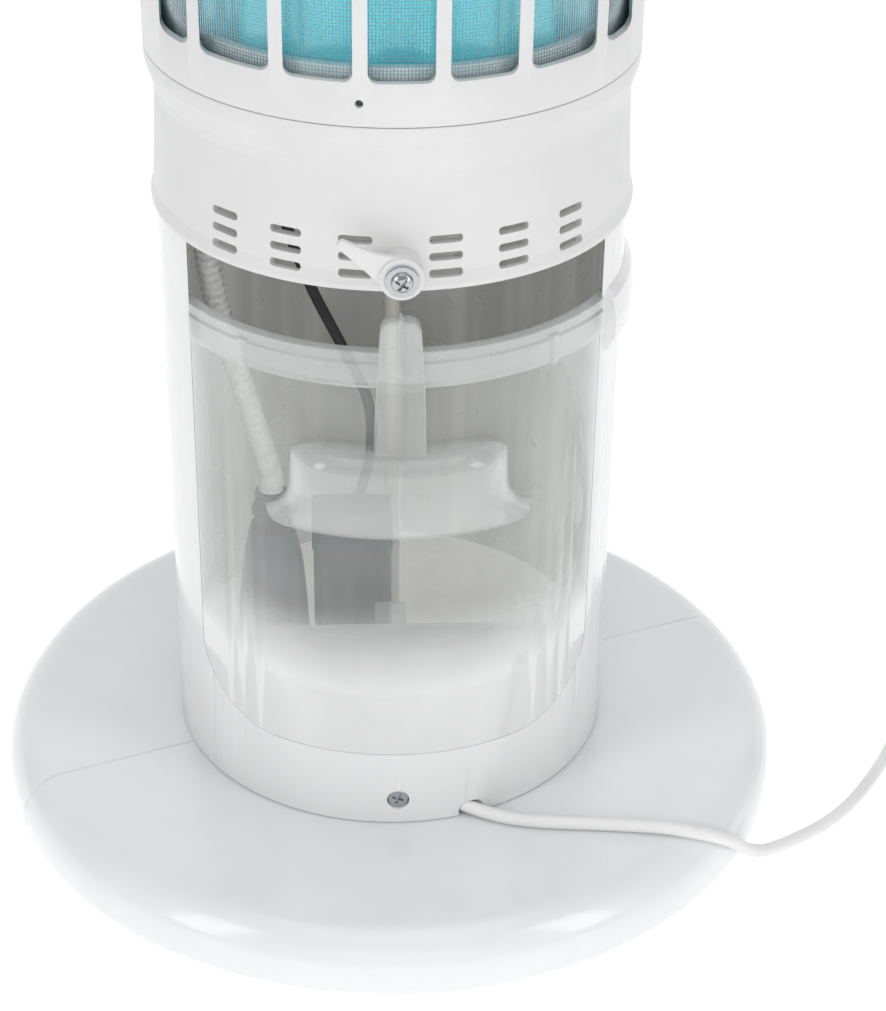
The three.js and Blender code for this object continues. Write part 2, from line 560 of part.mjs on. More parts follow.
function buildLatch(latch) {
  // Drawn with its arm along +X, then turned to its parked angle.
  const arm = new THREE.Shape();
  arm.moveTo(0, 7.4);
  arm.quadraticCurveTo(11, 5.4, LATCH_REACH - 2, 2.6);
  arm.absarc(LATCH_REACH - 2, 0.6, 2, Math.PI / 2, -Math.PI / 2, true);
  arm.quadraticCurveTo(14, -1.6, 6, -6);
  arm.lineTo(0, -6);
  const plateShape = solid(frontPrism(arm, 1.4, 4.0, 8));
  const ring = solid(barAlongY(8.1, 0, 0, 0, 5.1, 20));
  const bore = solid(barAlongY(2.3, 0, 0, -2, 9, 20));
  const lever = cut(join(plateShape, ring), bore);
  const leverMesh = place('latch_lever', lever, MAT.satinWhite, latch);
  leverMesh.rotation.y = -radians(LATCH_TILT);

  const flange = solid(barAlongY(6.1, 0, 0, -1.3, 0, 20));
  const domeOutline = [[0, -3.9], [2.3, -3.6], [3.6, -2.7], [4.1, -1.4], [4.1, -0.6], [0, -0.6]];
  const dome = solid(new THREE.LatheGeometry(domeOutline.map(([r, y]) => new THREE.Vector2(r, y)), 16));
  const shank = solid(barAlongY(1.9, 0, 0, -0.4, 12, 16));
  const crossA = solid(box(-3, -6, -0.55, 3, -1.7, 0.55));
  const crossB = solid(box(-0.55, -6, -3, 0.55, -1.7, 3));
  place('latch_screw', cut(join(flange, dome, shank), crossA, crossB), MAT.zinc)
    .position.set(0, LATCH_BOSS_Y - 5.1 - 2 * GAP, LATCH_Z);
}

// ---------- fan ----------
const FAN_Z = 303;

function buildFan(fan) {
  const hub = solid(revolved([[0, -8], [15, -8], [17, -5], [17, 7], [14, 8], [0, 8]], 20));
  const shaft = solid(disc(2.2, 6, 12.4, 16));
  const blades = [];
  const bladeCount = 7;
  for (let i = 0; i < bladeCount; i += 1) {
    const blade = roundedRect(-11, 15, 11, 66, 5);
    blades.push(solid(prism(blade, -0.9, 0.9, 2).rotateY(radians(32))).rotate([0, 0, (i * 360) / bladeCount]));
  }
  place('fan_rotor', join(hub, shaft, ...blades), MAT.darkBlueGrey, fan);
}

function buildMotor() {
  const z0 = FAN_Z + 12.4 + GAP;
  const motor = [[0, z0], [16, z0], [18, z0 + 1.5], [18, z0 + 15], [16, z0 + 16.4], [0, z0 + 16.4]];
  place('fan_motor', revolved(motor, 20), MAT.wire);
  const hoop = cut(solid(disc(24, z0 + 4, z0 + 7, 24)), solid(disc(18 + GAP + 0.3, z0, z0 + 12, 24)));
  const arms = [];
  for (let i = 0; i < 3; i += 1) {
    arms.push(solid(box(23, -4, z0 + 4, COLLAR_INNER_R - 0.6, 4, z0 + 7)).rotate([0, 0, 30 + i * 120]));
  }
  place('motor_bracket', join(hoop, ...arms), MAT.satinWhite);
}

// ---------- head: ring, cage, mesh, lamp ----------
function buildHead() {
  const ringR = COLLAR_INNER_R - 0.6;
  place('cage_ring', revolved([
    [ringR - 2, RING_Z0], [ringR, RING_Z0], [ringR, RING_Z1], [66, RING_Z1], [66, RING_Z1 - 3],
    [ringR - 2, RING_Z1 - 3]], HEAD_ROUND), MAT.satinWhite);

  const cage = solid(revolved([
    [CAGE_R - CAGE_WALL, CAGE_Z0], [CAGE_R, CAGE_Z0], [CAGE_R, CAGE_Z1], [CAGE_R - CAGE_WALL, CAGE_Z1]], HEAD_ROUND));
  const windows = [];
  for (const [left, right] of CAGE_WINDOWS) {
    const shape = roundedRect(left, CAGE_WINDOW_Z0, right, CAGE_WINDOW_Z1, 3.4);
    windows.push(solid(frontPrism(shape, -CAGE_R - 6, -34, 2)), solid(frontPrism(shape, 34, CAGE_R + 6, 2)));
  }
  const thermistorHole = solid(barAlongY(1.5, 0, 346.4, -100, -85, 12)).rotate([0, 0, -9]);
  place('cage', cut(cage, ...windows, thermistorHole), MAT.satinWhite);

  const hemTop = CAGE_WINDOW_Z0 + 3.6;
  place('grid_hem', revolved([
    [MESH_R - 2, CAGE_Z0 + 0.2], [MESH_R + 1, CAGE_Z0 + 0.2], [MESH_R + 1, hemTop], [MESH_R - 2, hemTop]], HEAD_ROUND),
  MAT.aqua);
  place('shock_grid', revolved([
    [MESH_R - 0.6, hemTop + GAP], [MESH_R, hemTop + GAP], [MESH_R, 536], [MESH_R - 0.6, 536]], HEAD_ROUND), MAT.wire);
  place('grid_upper_ring', revolved([
    [MESH_R - 2, 536 + GAP], [MESH_R + 1, 536 + GAP], [MESH_R + 1, 544], [MESH_R - 2, 544]], HEAD_ROUND), MAT.ceramic);

  const sleeve = new THREE.Shape();
  const core = new THREE.Path();
  const samples = SLEEVE_FLUTES * 3;
  for (let i = 0; i <= samples; i += 1) {
    const angle = (i / samples) * Math.PI * 2;
    const ripple = 1.7 * Math.cos(SLEEVE_FLUTES * angle);
    const method = i === 0 ? 'moveTo' : 'lineTo';
    const [outer, within] = [SLEEVE_R + ripple, SLEEVE_R - 1.6 + ripple];
    if (i < samples) {
      sleeve[method](outer * Math.cos(angle), outer * Math.sin(angle));
      core[method](within * Math.cos(angle), within * Math.sin(angle));
    }
  }
  sleeve.holes.push(core);
  place('lamp_sleeve', prism(sleeve, RING_Z1 + GAP, 534), MAT.teal);

  const base = solid(disc(74, CAGE_Z0, 343, 32));
  const bowls = [];
  for (const side of [-1, 1]) {
    bowls.push(solid(disc(11, 341, 352, 16).translate(side * 30, 0, 0)));
  }
  const vents = [];
  for (let i = 0; i < 6; i += 1) {
    vents.push(solid(disc(12, 330, 350, 10).translate(0, 52, 0)).rotate([0, 0, i * 60]));
  }
  place('lamp_base', cut(join(base, ...bowls), ...vents), MAT.ceramic);
  for (const [label, side] of [['left', -1], ['right', 1]]) {
    const tube = [[0, 352.3], [8.6, 352.3], [8.6, 362], [7.8, 364], [7.8, 516], [8.6, 518], [8.6, 526], [0, 526]];
    place(`uv_lamp_${label}`, revolved(tube, 14), MAT.lampGlass).position.set(side * 30, 0, 0);
  }
  const topPlate = solid(disc(78, 545, 547.6, 40));
  const sockets = [-1, 1].map((side) => solid(disc(11, 526.4, 545.5, 16).translate(side * 30, 0, 0)));
  place('lamp_top_plate', join(topPlate, ...sockets), MAT.ceramic);
}

// ---------- cap, power button, carrying handle ----------
function buildCap() {
  const shell = solid(revolved([
    [CAGE_R - CAP_WALL, CAGE_Z1 + GAP], [CAGE_R, CAGE_Z1 + GAP], [CAGE_R + 1.5, CAGE_Z1 + 4],
    [CAGE_R + 1.5, 566], [92.5, 575], [86, 581.6], [76, CAP_Z1], [0, CAP_Z1], [0, CAP_Z1 - CAP_WALL],
    [75, CAP_Z1 - CAP_WALL], [84.4, 578.8], [90, 573], [CAGE_R + 1.5 - CAP_WALL, 565],
    [CAGE_R + 1.5 - CAP_WALL, CAGE_Z1 + 5],
  ], HEAD_ROUND));
  const buttonHole = solid(disc(11.8, 570, 600, 20).translate(0, BUTTON_Y, 0));
  const lugs = [-1, 1].map((side) => {
    const outline = roundedRect(-5, CAP_Z1 - 1, 5, HANDLE_Z + 5, 4.5);
    return solid(frontPrism(outline, -2.5, 2.5, 5).rotateZ(Math.PI / 2)).translate([side * (HANDLE_HALF - 8.6), 0, 0]);
  });
  const lugBore = solid(barAlongX(2.4, 0, HANDLE_Z, -80, 80));
  place('top_cap', cut(join(shell, ...lugs), buttonHole, lugBore), MAT.glossWhite);
  place('switch_module', box(-14, BUTTON_Y - 14, 548.2, 14, BUTTON_Y + 14, 571), MAT.black);
}

function buildButton(button) {
  const outline = [
    [0, 574], [5, 574], [5, 578.9], [13.4, 578.9], [13.4, 581.5], [11.2, 581.5], [11.2, 587.6], [10.2, 588.6],
    [0, 588.6]];
  place('power_button', revolved(outline, 20), MAT.aqua, button);
}

function buildHandle(handle) {
  const thickness = 4.2;
  const outer = new THREE.Shape();
  const w = HANDLE_HALF;
  outer.moveTo(-w - 6, -4);
  outer.lineTo(-w - 6, HANDLE_REACH - 22);
  outer.absarc(-w + 16, HANDLE_REACH - 22, 22, Math.PI, Math.PI / 2, true);
  outer.lineTo(w - 16, HANDLE_REACH);
  outer.absarc(w - 16, HANDLE_REACH - 22, 22, Math.PI / 2, 0, true);
  outer.lineTo(w + 6, -4);
  outer.lineTo(w - 5, -4);
  outer.lineTo(w - 5, HANDLE_REACH - 22);
  outer.absarc(w - 16, HANDLE_REACH - 22, 11, 0, Math.PI / 2, false);
  outer.lineTo(-w + 16, HANDLE_REACH - 11);
  outer.absarc(-w + 16, HANDLE_REACH - 22, 11, Math.PI / 2, Math.PI, false);
  outer.lineTo(-w + 5, -4);
  const bail = solid(prism(outer, -thickness, thickness, 8));
  const bore = solid(barAlongX(2.4, 0, 0, -80, 80));
  place('carry_handle', cut(bail, bore), MAT.satinWhite, handle);
}

function buildHandlePins() {
  for (const [label, side] of [['left', -1], ['right', 1]]) {
    const pin = barAlongX(2.0, 0, HANDLE_Z, HANDLE_HALF - 13, HANDLE_HALF + 6.8, 16);
    const mesh = place(`handle_pin_${label}`, pin, MAT.zinc);
    mesh.rotation.z = side < 0 ? Math.PI : 0;
  }
}

// ---------- mains cord ----------
function buildCord() {
  const direction = new THREE.Vector3(
    CORD_RUN[2][0] - CORD_RUN[0][0], CORD_RUN[2][1] - CORD_RUN[0][1], CORD_RUN[2][2] - CORD_RUN[0][2]).normalize();
  const bore = CORD_R + 0.35;
  const reliefOutline = [[bore, 0], [6.4, 0], [6.4, 3], [5.4, 4], [3.7, 22.4], [bore, 22.4]];
  const relief = place('cord_relief', revolved(reliefOutline, 14), MAT.cord);
  relief.position.set(...CORD_RUN[0]);
  relief.quaternion.setFromUnitVectors(new THREE.Vector3(0, 0, 1), direction);
  place('cord_run', tubeAlong(CORD_RUN, CORD_R, 8, 40), MAT.cord);

  const [cx, cy] = COIL_CENTRE;
  const [rIn, rOut] = [COIL_MIDDLE_R - COIL_HALF_WIDTH, COIL_MIDDLE_R + COIL_HALF_WIDTH];
  const z0 = COIL_Z0;
  place('cord_coil', revolved([
    [rIn + 2, z0], [rOut - 2, z0], [rOut, z0 + 2], [rOut, z0 + COIL_HEIGHT - 2], [rOut - 2, z0 + COIL_HEIGHT],
    [rIn + 2, z0 + COIL_HEIGHT], [rIn, z0 + COIL_HEIGHT - 2], [rIn, z0 + 2],
  ], 24), MAT.cord).position.set(cx, cy, 0);

  const [tieHalf, tieRise, strap] = [COIL_HALF_WIDTH + 0.95, COIL_HEIGHT / 2 + 0.25, 0.95];
  const tie = roundedRect(-tieHalf - strap, -tieRise - strap, tieHalf + strap, tieRise + strap, 3);
  tie.holes.push(new THREE.Path(roundedRect(-tieHalf, -tieRise, tieHalf, tieRise, 2).getPoints(3)));
  place('coil_tie', frontPrism(tie, -5, 5, 3), MAT.black)
    .position.set(cx + COIL_MIDDLE_R, cy, z0 + COIL_HEIGHT / 2);

  place('cord_tail', tubeAlong(CORD_TAIL, CORD_R, 8, 16), MAT.cord);

  // Two-pin plug lying on the floor, pins towards -Y.
  const body = new THREE.Shape();
  body.moveTo(-4.4, 0);
  body.lineTo(-5.6, -13);
  body.quadraticCurveTo(-7, -20, -12.5, -23);
  body.quadraticCurveTo(-17.6, -26, -17.6, -32);
  body.lineTo(-17.6, -44);
  body.lineTo(17.6, -44);
  body.lineTo(17.6, -32);
  body.quadraticCurveTo(17.6, -26, 12.5, -23);
  body.quadraticCurveTo(7, -20, 5.6, -13);
  body.lineTo(4.4, 0);
  const thick = 6.9;
  const plug = solid(prism(body, 0.3, 0.3 + 2 * thick, 4));
  const pinBores = [-9.5, 9.5].map((x) => solid(barAlongY(2.3, x, 0.3 + thick, -50, -38, 16)));
  place('plug_body', cut(plug, ...pinBores), MAT.cord).position.set(PLUG_X, PLUG_Y + 15.6, 0);
  for (const [label, x] of [['left', -9.5], ['right', 9.5]]) {
    const pin = barAlongY(2.0, x, 0.3 + thick, -63, -38.4, 16);
    place(`plug_pin_${label}`, pin, MAT.zinc).position.set(PLUG_X, PLUG_Y + 15.6, 0);
  }
}

// ---------- assembly ----------
const tray = new THREE.Group();
const latch = new THREE.Group();
latch.position.set(0, LATCH_BOSS_Y - 5.1 - GAP, LATCH_Z);
const fan = new THREE.Group();
fan.position.set(0, 0, FAN_Z);
const button = new THREE.Group();
button.position.set(0, BUTTON_Y, 0);
const handle = new THREE.Group();
handle.position.set(0, 0, HANDLE_Z);
model.add(tray, latch, fan, button, handle);

buildFoot();
buildColumn();
buildTray(tray);
buildInterior();
buildCollar();
buildLatch(latch);
buildFan(fan);
buildMotor();
buildHead();
buildCap();
buildButton(button);
buildHandle(handle);
buildHandlePins();
buildCord();

export default model;
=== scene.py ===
"""Looks of the floor-standing bug zapper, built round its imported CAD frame.
Lengths are millimetres in the row frame unless said otherwise; MM turns them into metres."""

import math

import bmesh
import bpy
from mathutils import Matrix, Vector


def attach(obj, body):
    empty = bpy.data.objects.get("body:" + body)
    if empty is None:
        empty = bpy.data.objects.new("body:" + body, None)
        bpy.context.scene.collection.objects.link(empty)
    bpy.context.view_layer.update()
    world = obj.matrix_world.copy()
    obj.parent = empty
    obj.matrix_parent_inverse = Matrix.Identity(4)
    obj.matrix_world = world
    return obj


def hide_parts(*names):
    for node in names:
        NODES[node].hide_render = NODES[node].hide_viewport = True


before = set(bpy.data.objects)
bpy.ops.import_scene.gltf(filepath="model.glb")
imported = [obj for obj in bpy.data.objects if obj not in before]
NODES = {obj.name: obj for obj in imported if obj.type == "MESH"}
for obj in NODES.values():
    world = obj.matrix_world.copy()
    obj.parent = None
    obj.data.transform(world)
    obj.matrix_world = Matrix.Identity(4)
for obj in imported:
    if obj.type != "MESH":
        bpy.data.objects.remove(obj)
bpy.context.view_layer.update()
MM = 0.001
TAU = 2 * math.pi

# ---------------------------------------------------------------- camera
CAMERA_AT = Vector((-30.014, -897.184, 682.077))
LOOK = Vector((0.04896027, 0.84912551, -0.52591706))
LEVEL_RIGHT = Vector((0.99834182, -0.05756403, 0.0))
LEVEL_UP = Vector((0.0302739, 0.525045, 0.85053586))
ROLL = math.radians(0.89)

camera_data = bpy.data.cameras.new("camera")
camera_data.sensor_fit = "AUTO"
camera_data.sensor_width = 36.0
camera_data.lens = 89.24
camera_data.clip_start, camera_data.clip_end = 0.05, 50.0
camera = bpy.data.objects.new("camera", camera_data)
bpy.context.scene.collection.objects.link(camera)
right = LEVEL_RIGHT * math.cos(ROLL) + LEVEL_UP * math.sin(ROLL)
up = LEVEL_UP * math.cos(ROLL) - LEVEL_RIGHT * math.sin(ROLL)
turn = Matrix((right, up, -LOOK)).transposed().to_4x4()
camera.matrix_world = Matrix.Translation(CAMERA_AT * MM) @ turn
bpy.context.scene.camera = camera


# ---------------------------------------------------------------- materials
def link(tree, source, target):
    tree.links.new(source, target)


def noise_field(tree, coords, scale, detail=3.0, roughness=0.55):
    node = tree.nodes.new("ShaderNodeTexNoise")
    node.inputs["Scale"].default_value = scale
    node.inputs["Detail"].default_value = detail
    node.inputs["Roughness"].default_value = roughness
    link(tree, coords, node.inputs["Vector"])
    return node.outputs["Fac"]


def remap(tree, value, low, high, to_low, to_high, smooth=False):
    node = tree.nodes.new("ShaderNodeMapRange")
    node.interpolation_type = "SMOOTHSTEP" if smooth else "LINEAR"
    for name, number in (("From Min", low), ("From Max", high), ("To Min", to_low), ("To Max", to_high)):
        node.inputs[name].default_value = number
    link(tree, value, node.inputs["Value"])
    return node.outputs["Result"]


def calc(tree, operation, a, b=None):
    node = tree.nodes.new("ShaderNodeMath")
    node.operation = operation
    for socket, value in zip(node.inputs, (a, b)):
        if isinstance(value, (int, float)):
            socket.default_value = value
        elif value is not None:
            link(tree, value, socket)
    return node.outputs[0]


def blend_colours(tree, factor, a, b):
    node = tree.nodes.new("ShaderNodeMix")
    node.data_type = "RGBA"
    link(tree, factor, node.inputs[0])
    for socket, value in ((node.inputs[6], a), (node.inputs[7], b)):
        if isinstance(value, bpy.types.NodeSocket):
            link(tree, value, socket)
        else:
            socket.default_value = (*value, 1.0)
    return node.outputs[2]


def shade(colour, factor):
    return tuple(min(1.0, c * factor) for c in colour)


def material(name, colour, roughness, *, tint=0.04, patch=30.0, spread=0.05, grain=1400.0, bump=0.08,
             relief=0.00012, metallic=0.0, coat=0.0, specular=0.5, subsurface=0.0, stain=0.0,
             stain_colour=(0.5, 0.47, 0.42)):
    """Moulded or drawn material: soft colour patches, uneven gloss, fine surface grain, faint dust."""
    made = bpy.data.materials.new(name)
    made.use_nodes = True
    tree = made.node_tree
    shader = tree.nodes["Principled BSDF"]
    coords = tree.nodes.new("ShaderNodeTexCoord").outputs["Object"]
    patches = noise_field(tree, coords, patch)
    base = blend_colours(tree, remap(tree, patches, 0.3, 0.7, 0.0, 1.0), shade(colour, 1 - tint),
                         shade(colour, 1 + tint))
    if stain:
        dirt = remap(tree, noise_field(tree, coords, patch * 4.3, 5.0, 0.7), 0.6, 0.85, 0.0, stain, smooth=True)
        base = blend_colours(tree, dirt, base, stain_colour)
    link(tree, base, shader.inputs["Base Color"])
    gloss = noise_field(tree, coords, patch * 1.7, 4.0)
    link(tree, remap(tree, gloss, 0.3, 0.7, max(0.02, roughness - spread), roughness + spread),
         shader.inputs["Roughness"])
    bumps = tree.nodes.new("ShaderNodeBump")
    bumps.inputs["Strength"].default_value = bump
    bumps.inputs["Distance"].default_value = relief
    link(tree, noise_field(tree, coords, grain, 2.0), bumps.inputs["Height"])
    link(tree, bumps.outputs["Normal"], shader.inputs["Normal"])
    shader.inputs["Metallic"].default_value = metallic
    shader.inputs["Specular IOR Level"].default_value = specular
    shader.inputs["Coat Weight"].default_value = coat
    shader.inputs["Coat Roughness"].default_value = 0.04
    shader.inputs["Subsurface Weight"].default_value = subsurface
    shader.inputs["Subsurface Scale"].default_value = 0.006
    return made


def see_through(made, clear, milky, edge=(0.070, 0.086), sill=(0.088, 0.138), band=None, rim=0.8):
    """Opacity of a thin milky moulding: clear in the middle, white towards its sides and sill and where
    it is seen edge on."""
    tree = made.node_tree
    shader = tree.nodes["Principled BSDF"]
    coords = tree.nodes.new("ShaderNodeTexCoord").outputs["Object"]
    parts = tree.nodes.new("ShaderNodeSeparateXYZ")
    link(tree, coords, parts.inputs[0])
    side = remap(tree, calc(tree, "ABSOLUTE", parts.outputs["X"]), edge[0], edge[1], 0.0, 0.85, smooth=True)
    low = remap(tree, parts.outputs["Z"], sill[0], sill[1], 1.0, 0.0, smooth=True)
    cover = calc(tree, "MAXIMUM", side, low)
    if band:
        high = remap(tree, parts.outputs["Z"], band[0], band[1], 0.0, band[2], smooth=True)
        cover = calc(tree, "MAXIMUM", cover, high)
    x, y = parts.outputs["X"], parts.outputs["Y"]
    radius = calc(tree, "SQRT", calc(tree, "ADD", calc(tree, "MULTIPLY", x, x), calc(tree, "MULTIPLY", y, y)))
    cover = calc(tree, "MAXIMUM", cover, remap(tree, radius, 0.0925, 0.0945, 0.0, 0.2, smooth=True))
    clouds = remap(tree, noise_field(tree, coords, 26.0, 3.0), 0.3, 0.7, -0.03, 0.03)
    opacity = calc(tree, "ADD", remap(tree, cover, 0.0, 1.0, clear, milky), clouds)
    facing = tree.nodes.new("ShaderNodeLayerWeight")
    facing.inputs["Blend"].default_value = 0.5
    grazing = calc(tree, "MULTIPLY", calc(tree, "POWER", facing.outputs["Facing"], 2.0), rim)
    link(tree, calc(tree, "MINIMUM", calc(tree, "ADD", opacity, grazing), 0.97), shader.inputs["Alpha"])
    return made


def glow_on(made, colour, strength):
    shader = made.node_tree.nodes["Principled BSDF"]
    shader.inputs["Emission Color"].default_value = (*colour, 1)
    shader.inputs["Emission Strength"].default_value = strength


def painted_reflection_bands(made, colour_low, colour_high, scale=70.0):
    """Painted reflection: upright light and dark bands in the base colour, as a rolled bright sheet shows in its
    reflections.
    """
    tree = made.node_tree
    shader = tree.nodes["Principled BSDF"]
    coords = tree.nodes.new("ShaderNodeTexCoord").outputs["Object"]
    flat = tree.nodes.new("ShaderNodeMapping")
    flat.inputs["Scale"].default_value = (1.0, 1.0, 0.02)
    link(tree, coords, flat.inputs["Vector"])
    bands = remap(tree, noise_field(tree, flat.outputs["Vector"], scale, 3.0, 0.6), 0.38, 0.66, 0.0, 1.0,
                  smooth=True)
    link(tree, blend_colours(tree, bands, colour_low, colour_high), shader.inputs["Base Color"])
    return made


MAT = {
    "gloss_white": material("gloss_white", (0.80, 0.805, 0.81), 0.22, coat=0.3, bump=0.03, grain=500, stain=0.02,
                            tint=0.015),
    "satin_white": material("satin_white", (0.675, 0.675, 0.665), 0.36, bump=0.12, grain=2600, stain=0.03, tint=0.02),
    "milky": material("milky", (0.77, 0.77, 0.765), 0.2, coat=0.4, bump=0.04, grain=700, subsurface=0.1,
                      stain=0.02, tint=0.02),
    "tray_clear": material("tray_clear", (0.74, 0.76, 0.745), 0.08, coat=1.0, bump=0.03, grain=420, specular=1.0,
                           stain=0.04, tint=0.02),
    "clear": material("clear", (0.74, 0.78, 0.76), 0.1, coat=0.6, bump=0.03, grain=500, specular=1.0),
    "rubber": material("rubber", (0.03, 0.03, 0.031), 0.8, bump=0.5, grain=1800, stain=0.2),
    "teal": material("teal", (0.16, 0.78, 0.88), 0.2, metallic=0.1, coat=0.9, bump=0.03, grain=600, patch=12),
    "aqua": material("aqua", (0.66, 0.78, 0.80), 0.42, bump=0.1, grain=2000, stain=0.05),
    # Rear liner: smoky grey whose streaks are painted reflection bands, with a painted glow set below.
    "smoke": painted_reflection_bands(material("smoke", (0.3, 0.3, 0.29), 0.3, coat=0.4, metallic=0.3, bump=0.03, stain=0.02),
                     (0.36, 0.36, 0.345), (0.68, 0.68, 0.65), scale=26.0),
    "blue_grey": material("blue_grey", (0.016, 0.026, 0.038), 0.4, bump=0.2, grain=2200, stain=0.1),
    "dark_blue_grey": material("dark_blue_grey", (0.009, 0.014, 0.02), 0.42, bump=0.25, grain=2000, stain=0.1),
    "ceramic": material("ceramic", (0.74, 0.72, 0.67), 0.42, bump=0.35, grain=1500, stain=0.1),
    "porous": material("porous", (0.80, 0.80, 0.77), 0.75, bump=0.9, relief=0.0006, grain=900, tint=0.12,
                       patch=300),
    "black": material("black", (0.014, 0.014, 0.015), 0.45, bump=0.3, grain=1900, stain=0.05),
    "zinc": material("zinc", (0.46, 0.47, 0.48), 0.26, metallic=1.0, bump=0.2, grain=2500, spread=0.1),
    "wire": material("wire", (0.58, 0.63, 0.65), 0.34, metallic=0.9, bump=0.1, grain=3000, spread=0.08),
    "lamp_glass": material("lamp_glass", (0.70, 0.76, 0.86), 0.1, coat=1.0, bump=0.02, subsurface=0.1),
    "deck_white_painted_glow": material("deck_white_painted_glow", (0.78, 0.78, 0.76), 0.3, bump=0.1, grain=1800, stain=0.03),
    "cord_white": material("cord_white", (0.80, 0.80, 0.785), 0.42, bump=0.15, grain=1600, stain=0.05),
}
see_through(MAT["tray_clear"], 0.11, 0.92, band=(0.2335, 0.236, 0.27))
MAT["clear"].node_tree.nodes["Principled BSDF"].inputs["Alpha"].default_value = 0.35
# Painted light: a faint glow in the liner and deck stands for the daylight that the milky wall lets through onto them,
# and a painted glow lights the lamp sleeve.
glow_on(MAT["smoke"], (1.0, 1.0, 0.97), 0.08)
glow_on(MAT["deck_white_painted_glow"], (1.0, 1.0, 0.97), 0.2)
glow_on(MAT["teal"], (0.12, 0.6, 0.7), 0.09)


# ---------------------------------------------------------------- mesh helpers
def made_object(name, verts, faces):
    """A mesh object from points in millimetres, welded, with its faces turned outwards."""
    mesh = bpy.data.meshes.new(name)
    mesh.from_pydata([(x * MM, y * MM, z * MM) for x, y, z in verts], [], faces)
    work = bmesh.new()
    work.from_mesh(mesh)
    bmesh.ops.remove_doubles(work, verts=work.verts, dist=1e-6)
    bmesh.ops.dissolve_degenerate(work, edges=work.edges, dist=1e-7)
    bmesh.ops.recalc_face_normals(work, faces=work.faces)
    work.to_mesh(mesh)
    work.free()
    made = bpy.data.objects.new(name, mesh)
    bpy.context.scene.collection.objects.link(made)
    return made


def fillet(outline, radius, steps=4, closed=True):
    """Rounds the corners of an outline; radius is one number or one per corner."""
    points = [Vector(p) for p in outline]
    count = len(points)
    result = []
    for i, corner in enumerate(points):
        r = radius[i] if isinstance(radius, (list, tuple)) else radius
        inner = closed or 0 < i < count - 1
        if r <= 0 or not inner:
            result.append(tuple(corner))
            continue
        back, ahead = points[i - 1] - corner, points[(i + 1) % count] - corner
        angle = back.angle(ahead)
        if angle > math.radians(172):
            result.append(tuple(corner))
            continue
        reach = min(r / math.tan(angle / 2), 0.45 * back.length, 0.45 * ahead.length)
        a, b = corner + back.normalized() * reach, corner + ahead.normalized() * reach
        for k in range(steps + 1):
            t = k / steps
            result.append(tuple((1 - t) ** 2 * a + 2 * t * (1 - t) * corner + t * t * b))
    return result


def revolve(name, outline, segments=192):
    """Turns a closed [radius, z] outline about Z."""
    verts, faces = [], []
    count = len(outline)
    for i in range(segments):
        angle = TAU * i / segments
        verts += [(r * math.cos(angle), r * math.sin(angle), z) for r, z in outline]
    for i in range(segments):
        a, b = i * count, ((i + 1) % segments) * count
        for j in range(count):
            k = (j + 1) % count
            if outline[j][0] > 0 or outline[k][0] > 0:
                faces.append((a + j, a + k, b + k, b + j))
    return made_object(name, verts, faces)


def prism(name, outline, low, high, front=False):
    """Extrudes an outline of (x, y) from z low to high, or of (x, z) from y low to high where front is set."""
    count = len(outline)
    place = (lambda u, v, w: (u, w, v)) if front else (lambda u, v, w: (u, v, w))
    verts = [place(u, v, w) for w in (low, high) for u, v in outline]
    faces = [tuple(range(count)), tuple(range(2 * count - 1, count - 1, -1))]
    faces += [(i, (i + 1) % count, count + (i + 1) % count, count + i) for i in range(count)]
    return made_object(name, verts, faces)


def arc(cx, cy, r, start, end, steps):
    """Points on a circle from start to end, in degrees."""
    return [(cx + r * math.cos(math.radians(start + (end - start) * k / steps)),
             cy + r * math.sin(math.radians(start + (end - start) * k / steps))) for k in range(steps + 1)]


def rounded_rect(x0, y0, x1, y1, r, steps=6):
    return (arc(x1 - r, y0 + r, r, -90, 0, steps) + arc(x1 - r, y1 - r, r, 0, 90, steps)
            + arc(x0 + r, y1 - r, r, 90, 180, steps) + arc(x0 + r, y0 + r, r, 180, 270, steps))


def box(name, x0, y0, z0, x1, y1, z1):
    return prism(name, [(x0, y0), (x1, y0), (x1, y1), (x0, y1)], z0, z1)


def disc(name, radius, low, high, segments=48, centre=(0, 0), front=False):
    outline = arc(centre[0], centre[1], radius, 0, 360 - 360 / segments, segments - 1)
    return prism(name, outline, low, high, front)


def loft(name, rings):
    """Skin through equal closed rings of points, capped at both ends."""
    count = len(rings[0])
    verts = [p for ring in rings for p in ring]
    faces = [tuple(range(count)), tuple(range(len(verts) - 1, len(verts) - count - 1, -1))]
    for level in range(len(rings) - 1):
        for i in range(count):
            a, b = level * count + i, level * count + (i + 1) % count
            faces.append((a, b, b + count, a + count))
    return made_object(name, verts, faces)


def smooth_path(points, step):
    """Catmull-Rom curve through the points, sampled about every step."""
    p = [Vector(q) for q in points]
    p = [2 * p[0] - p[1], *p, 2 * p[-1] - p[-2]]
    result = []
    for i in range(1, len(p) - 2):
        pieces = max(1, round((p[i + 1] - p[i]).length / step))
        for k in range(pieces):
            t = k / pieces
            result.append(0.5 * (2 * p[i] + (p[i + 1] - p[i - 1]) * t
                                 + (2 * p[i - 1] - 5 * p[i] + 4 * p[i + 1] - p[i + 2]) * t * t
                                 + (3 * p[i] - 3 * p[i + 1] + p[i + 2] - p[i - 1]) * t ** 3))
    result.append(p[-2])
    return result


def sweep(name, path, radius, sides=20, flat=1.0):
    """Tube along a path; radius is a function of the length so far, flat squeezes it one way."""
    rings, travelled = [], 0.0
    normal = Vector((0, 1, 0)) if abs((path[1] - path[0]).normalized().y) < 0.9 else Vector((1, 0, 0))
    for i, point in enumerate(path):
        ahead = (path[min(i + 1, len(path) - 1)] - path[max(i - 1, 0)]).normalized()
        normal = (normal - ahead * normal.dot(ahead)).normalized()
        side = ahead.cross(normal)
        if i:
            travelled += (point - path[i - 1]).length
        r = radius(travelled)
        rings.append([tuple(point + normal * (r * flat * math.cos(a)) + side * (r * math.sin(a)))
                      for a in (TAU * k / sides for k in range(sides))])
    return loft(name, rings)


